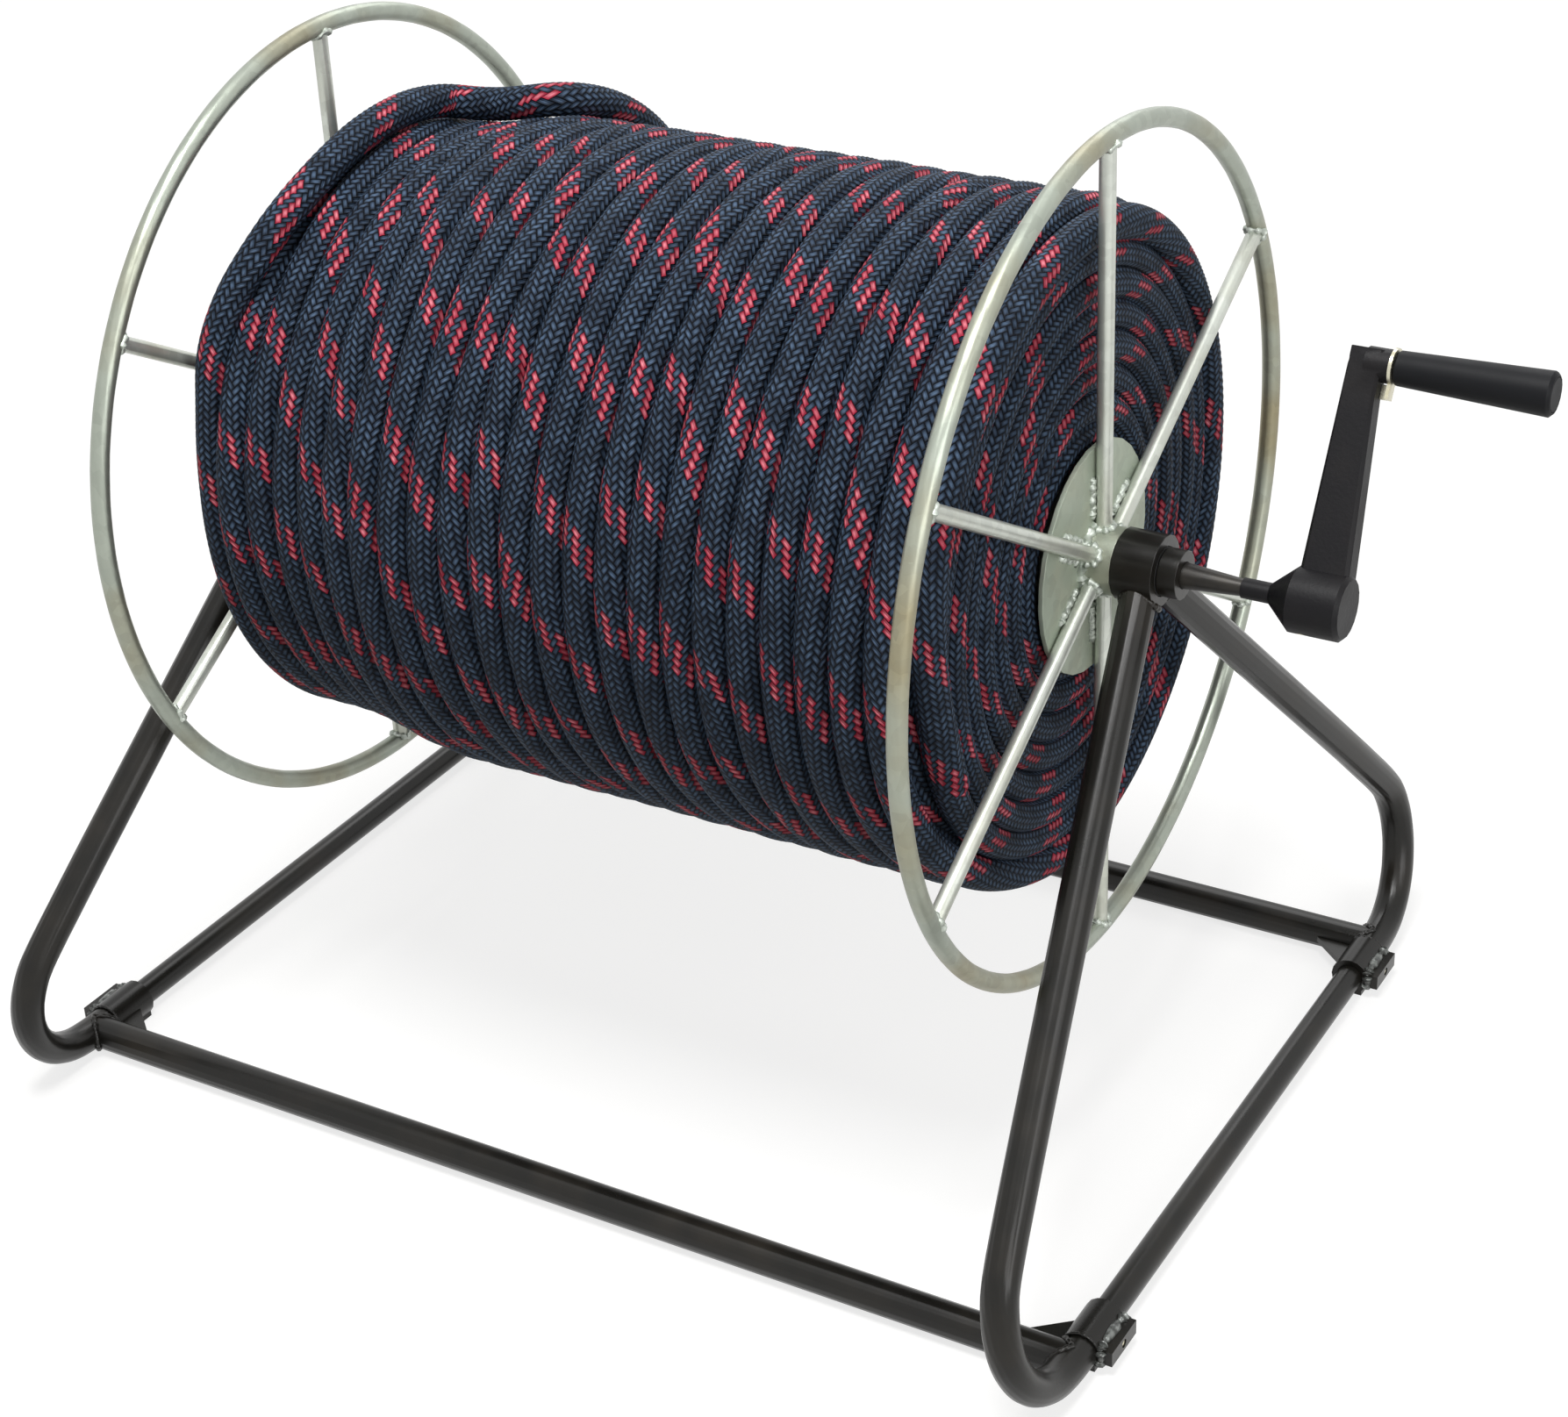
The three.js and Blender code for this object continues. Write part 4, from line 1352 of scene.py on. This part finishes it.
@dataclass
class Stand:
    """The tube stand: the enamelled weld beads at its joints."""

    tube_radius: float = 11.0
    socket_radius: float = 13.0
    lug_height: float = 10.0
    bead_stand_off: float = 0.4
    corner_power: float = 0.35
    tube_bead: WeldBead = WeldBead(height=1.9, ripple_length=4.0)
    mouth_bead: WeldBead = WeldBead(height=1.1, ripple_length=4.0)
    lug_bead: WeldBead = WeldBead(height=2.6, ripple_length=6.6, ripple_share=0.42, rings=120)

    def build(self, enamel: bpy.types.Material, highlit_enamel: bpy.types.Material) -> None:
        """Lays the beads of one corner and its bearing, and mirrors them to the others.

        Args:
            enamel: the stand's finish.
            highlit_enamel: the finish of the beads at the lugs.
        """
        modelled = (Side.RIGHT, End.FRONT)
        beads = {
            "leg": (self.tube_bead, self.leg_on_housing(*modelled), enamel),
            "cross_rail": (self.tube_bead, self.rail_on_leg(*modelled), enamel),
            "socket": (self.mouth_bead, self.socket_end(*modelled), enamel),
            # The lug beads get the enamel with painted highlights.
            "lug": (self.lug_bead, self.lug_root(*modelled), highlit_enamel),
        }
        middle_x = (middle("side_rail_left").x + middle("side_rail_right").x) / 2
        centre = Vector((middle_x, 0, 0))
        for seed, (where, (bead, line, finish)) in enumerate(beads.items()):
            first = bead.along(line, seed)
            for side in Side:
                for end in End:
                    across = Matrix.Diagonal((side.value, -end.value, 1, 1))
                    place = Matrix.Translation(centre) @ across @ Matrix.Translation(-centre)
                    name = f"weld_{where}_{end.word}_{side.word}"
                    settle(copied(first, name, place), name, Body.STAND, finish)
            bpy.data.objects.remove(first)

    def leg_on_housing(self, side: Side, end: End) -> Points:
        """The line round a leg's top on the bearing housing's skin.

        Args:
            side: the leg's side.
            end: the leg's end of the stand.

        Returns:
            The line's points.
        """
        low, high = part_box(f"bearing_housing_{side.word}")
        housing = (high.z - low.z) / 2 / MM
        top = np.array(middle(f"bearing_housing_{side.word}")) / MM
        rail = np.array(middle(f"side_rail_{side.word}")) / MM
        low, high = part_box(f"leg_{end.word}_{side.word}")
        low_place = np.array([rail[0], (low.y if end is End.FRONT else high.y) / MM, rail[2]])
        foot = low_place + np.array([0, -end.value * self.tube_radius, 0])
        direction = unit(foot - top)
        ring = ring_about(direction, self.tube_bead.turns) * (self.tube_radius + self.bead_stand_off)
        # Each point of the ring slides along the leg until it meets the housing's cylinder.
        a = direction[1] ** 2 + direction[2] ** 2
        b = ring[:, 1] * direction[1] + ring[:, 2] * direction[2]
        c = ring[:, 1] ** 2 + ring[:, 2] ** 2 - (housing + self.bead_stand_off) ** 2
        along = (-b + np.sqrt(np.maximum(b * b - a * c, 0))) / a
        return top + ring + np.outer(along, direction)

    def rail_on_leg(self, side: Side, end: End) -> Points:
        """The line round a cross rail's end on the leg's skin.

        Args:
            side: the leg's side.
            end: the rail's end of the stand.

        Returns:
            The line's points.
        """
        rail = np.array(middle(f"cross_rail_{end.word}")) / MM
        leg_x = middle(f"side_rail_{side.word}").x / MM
        reach = self.tube_radius + self.bead_stand_off
        y, z = reach * np.cos(self.tube_bead.turns), reach * np.sin(self.tube_bead.turns)
        x = leg_x - side.value * np.sqrt(np.maximum(reach**2 - z**2, 0))
        return np.stack([x, rail[1] + y, rail[2] + z], axis=1)

    def socket_end(self, side: Side, end: End) -> Points:
        """The line round a corner socket's mouth, where the leg comes out.

        Args:
            side: the socket's side.
            end: the socket's end of the stand.

        Returns:
            The line's points.
        """
        low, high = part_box(f"corner_socket_{end.word}_{side.word}")
        mouth = (high.y if end is End.BACK else low.y) / MM
        rail = np.array(middle(f"side_rail_{side.word}")) / MM
        reach = (self.tube_radius + self.socket_radius) / 2
        turns = self.mouth_bead.turns
        x, z = rail[0] + reach * np.cos(turns), rail[2] + reach * np.sin(turns)
        return np.stack([x, turns * 0 + mouth, z], axis=1)

    def lug_root(self, side: Side, end: End) -> Points:
        """The line round a clamp lug's root, a rounded rectangle on the socket's skin.

        Args:
            side: the socket's side.
            end: the socket's end of the stand.

        Returns:
            The line's points.
        """
        low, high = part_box(f"corner_socket_{end.word}_{side.word}")
        half_length = (high.y - low.y) / 2 / MM
        centre_y = (high.y + low.y) / 2 / MM
        half_height = self.lug_height / 2 + self.bead_stand_off
        rail = np.array(middle(f"side_rail_{side.word}")) / MM
        cosine, sine = np.cos(self.lug_bead.turns), np.sin(self.lug_bead.turns)
        y = np.sign(cosine) * np.abs(cosine) ** self.corner_power * half_length
        z = np.sign(sine) * np.abs(sine) ** self.corner_power * half_height
        x = side.value * np.sqrt(self.socket_radius**2 - z**2)
        return np.stack([rail[0] + x, centre_y + y, rail[2] + z], axis=1)


@dataclass
class CadSurfaces:
    """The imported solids: their finishes, and what makes their facets and edges round."""

    weld_distance: float = 0.01
    edge_round: float = 0.35
    edge_segments: int = 2
    sharp_deg: float = 35.0
    bent_sharp_deg: float = 50.0
    bent: tuple[str, ...] = ("rim", "leg")
    bent_growth: float = 0.3
    bent_levels: int = 2

    def build(self, materials: dict[str, bpy.types.Material]) -> None:
        """Dresses each node by the first part of its name.

        Args:
            materials: the finished materials by name.
        """
        for name, node in frame["nodes"].items():
            kind = max((key for key in NODE_FINISHES if name.startswith(key)), key=len, default=None)
            if kind is None:
                LOG.info("%s: stands for a rope piece", name)
                continue
            node.data.materials.clear()
            node.data.materials.append(materials[NODE_FINISHES[kind].name])
            self.round_off(node, kind in self.bent)
            LOG.info("%s: %s", name, NODE_FINISHES[kind].name)

    def round_off(self, node: bpy.types.Object, bent: bool) -> None:
        """Joins the node's facets, rounds its edges and smooths a bent bar's facets away.

        Args:
            node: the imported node, whose own mesh stays as it is.
            bent: whether the node is a bar or a tube that is bent to a curve.
        """
        node.data.polygons.foreach_set("use_smooth", [True] * len(node.data.polygons))
        weld = node.modifiers.new("merge", "WELD")
        weld.merge_threshold = self.weld_distance * MM
        if bent:
            grow = node.modifiers.new("grow", "DISPLACE")
            grow.strength = self.bent_growth * MM
            grow.mid_level = 0
        bevel = node.modifiers.new("edges", "BEVEL")
        bevel.width = self.edge_round * MM
        bevel.segments = self.edge_segments
        bevel.limit_method = "ANGLE"
        bevel.angle_limit = math.radians(self.bent_sharp_deg if bent else self.sharp_deg)
        if bent:
            smooth = node.modifiers.new("smooth", "SUBSURF")
            smooth.levels = self.bent_levels
            smooth.render_levels = self.bent_levels
        else:
            normals = node.modifiers.new("normals", "WEIGHTED_NORMAL")
            normals.mode = "FACE_AREA_WITH_ANGLE"


@dataclass(frozen=True)
class Lamp:
    """A soft square lamp, with its place and size in metres and its power in watts."""

    name: str
    place: tuple[float, float, float]
    size: float
    power: float

    def build(self, aim: tuple[float, float, float]) -> None:
        """Hangs the lamp and points it.

        Args:
            aim: the place that it points at.
        """
        data = bpy.data.lights.new(self.name, "AREA")
        data.size = self.size
        data.energy = self.power
        lamp = linked(self.name, data)
        lamp.location = self.place
        direction = Vector(aim) - Vector(self.place)
        lamp.rotation_euler = direction.to_track_quat("-Z", "Y").to_euler()


@dataclass
class Studio:
    """A pale floor, soft lamps and the camera at the picture's angle."""

    camera_place: tuple[float, float, float] = (897.0, -1501.0, 1224.6)
    azimuth_deg: float = 31.28
    elevation_deg: float = 29.13
    roll_deg: float = -2.66
    lens: float = 70.92
    sensor: float = 36.0
    white: str = "#ffffff"
    paper_colour: str = "#f4f3f0"
    bounce_colour: str = "#8f8b84"
    floor_size: float = 40.0
    floor_shadow_share: float = 0.35
    floor_glow: float = 1.16
    floor_near: float = 1.0
    floor_far: float = 3.0
    sky_share: float = 0.25
    aim: tuple[float, float, float] = (0.0, 0.0, 0.35)
    lamps: tuple[Lamp, ...] = (
        Lamp("key_lamp", (0.2, -0.9, 3.2), size=1.1, power=82.0),
        Lamp("fill_lamp", (2.3, -1.0, 1.3), size=1.4, power=24.0),
        Lamp("back_lamp", (-0.6, 2.0, 2.2), size=1.4, power=14.0),
    )

    def build(self) -> None:
        """Places camera, floor, world and lamps."""
        self.camera()
        self.floor()
        self.world()
        for lamp in self.lamps:
            lamp.build(self.aim)
        bpy.context.scene.view_settings.view_transform = "Standard"

    def camera(self) -> None:
        """Places the camera."""
        azimuth, elevation = math.radians(self.azimuth_deg), math.radians(self.elevation_deg)
        roll = math.radians(self.roll_deg)
        ahead_x = -math.sin(azimuth) * math.cos(elevation)
        ahead_y = math.cos(azimuth) * math.cos(elevation)
        forward = Vector((ahead_x, ahead_y, -math.sin(elevation)))
        right = Vector((math.cos(azimuth), math.sin(azimuth), 0))
        up = right.cross(forward)
        turned_right = right * math.cos(roll) + up * math.sin(roll)
        turned_up = up * math.cos(roll) - right * math.sin(roll)
        data = bpy.data.cameras.new("camera")
        data.lens = self.lens
        data.sensor_width = self.sensor
        camera = linked("camera", data)
        matrix = Matrix((turned_right, turned_up, -forward)).transposed().to_4x4()
        matrix.translation = Vector(self.camera_place) * MM
        camera.matrix_world = matrix
        bpy.context.scene.camera = camera

    def floor(self) -> None:
        """Lays the floor, white to the camera but for the shadow."""
        deselect()
        bpy.ops.mesh.primitive_plane_add(size=self.floor_size)
        floor = bpy.context.object
        floor.name = "floor"
        material = empty_material("studio_paper")
        tree = material.node_tree
        pale = add_node(tree, "ShaderNodeBsdfDiffuse", {"Color": linear(self.paper_colour)})
        dull = add_node(tree, "ShaderNodeBsdfDiffuse", {"Color": linear(self.bounce_colour)})
        glow = add_node(
            tree, "ShaderNodeEmission", {"Color": linear(self.white), "Strength": self.floor_glow}
        )
        place = add_node(tree, "ShaderNodeTexCoord", {}).outputs["Object"]
        distance = add_node(tree, "ShaderNodeVectorMath", {"Vector": place}, operation="LENGTH")
        share = add_node(
            tree,
            "ShaderNodeMapRange",
            {
                "Value": distance.outputs["Value"],
                "From Min": self.floor_near,
                "From Max": self.floor_far,
                "To Min": 1 - self.floor_shadow_share,
                "To Max": 1 / self.floor_glow,
            },
        )
        paper = add_node(
            tree, "ShaderNodeMixShader", {0: share.outputs[0], 1: pale.outputs[0], 2: glow.outputs[0]}
        )
        mix = add_node(
            tree, "ShaderNodeMixShader", {0: self.seen(tree), 1: dull.outputs[0], 2: paper.outputs[0]}
        )
        add_node(tree, "ShaderNodeOutputMaterial", {"Surface": mix.outputs[0]})
        floor.data.materials.append(material)

    def seen(self, tree: bpy.types.NodeTree) -> bpy.types.NodeSocket:
        """Whether a ray comes from the camera, from a gloss or through glass.

        Args:
            tree: the tree that asks.

        Returns:
            A socket that is one for such a ray and nought for any other.
        """
        path = add_node(tree, "ShaderNodeLightPath", {})
        found = path.outputs["Is Camera Ray"]
        for kind in ("Is Transmission Ray", "Is Glossy Ray"):
            inputs = {0: found, 1: path.outputs[kind]}
            found = add_node(tree, "ShaderNodeMath", inputs, operation="MAXIMUM").outputs[0]
        return found

    def world(self) -> None:
        """Makes the world white to the camera and soft to the object."""
        world = bpy.data.worlds.new("studio")
        bpy.context.scene.world = world
        world.use_nodes = True
        tree = world.node_tree
        tree.nodes.clear()
        strength = add_node(
            tree, "ShaderNodeMapRange", {"Value": self.seen(tree), "To Min": self.sky_share, "To Max": 1.0}
        )
        background = add_node(
            tree, "ShaderNodeBackground", {"Color": linear(self.white), "Strength": strength.outputs[0]}
        )
        add_node(tree, "ShaderNodeOutputWorld", {"Surface": background.outputs[0]})


def main() -> None:
    """Builds the studio, the finishes and every piece in order."""
    logging.basicConfig(level=logging.INFO, format="%(name)s: %(message)s")
    Studio().build()
    finishes = {*NODE_FINISHES.values(), WELD_METAL, WAXED_TWINE, HIGHLIT_LUG_ENAMEL}
    ordered = sorted(finishes, key=lambda finish: finish.name)
    materials = {finish.name: finish.build() for finish in ordered}
    braid = BraidedPolyester().build()
    CadSurfaces().build(materials)
    WoundRope().build(braid, materials[WAXED_TWINE.name])
    Flanges().build(materials[WELD_METAL.name])
    Stand().build(materials[SATIN_ENAMEL.name], materials[HIGHLIT_LUG_ENAMEL.name])


if __name__ == "__main__":
    main()
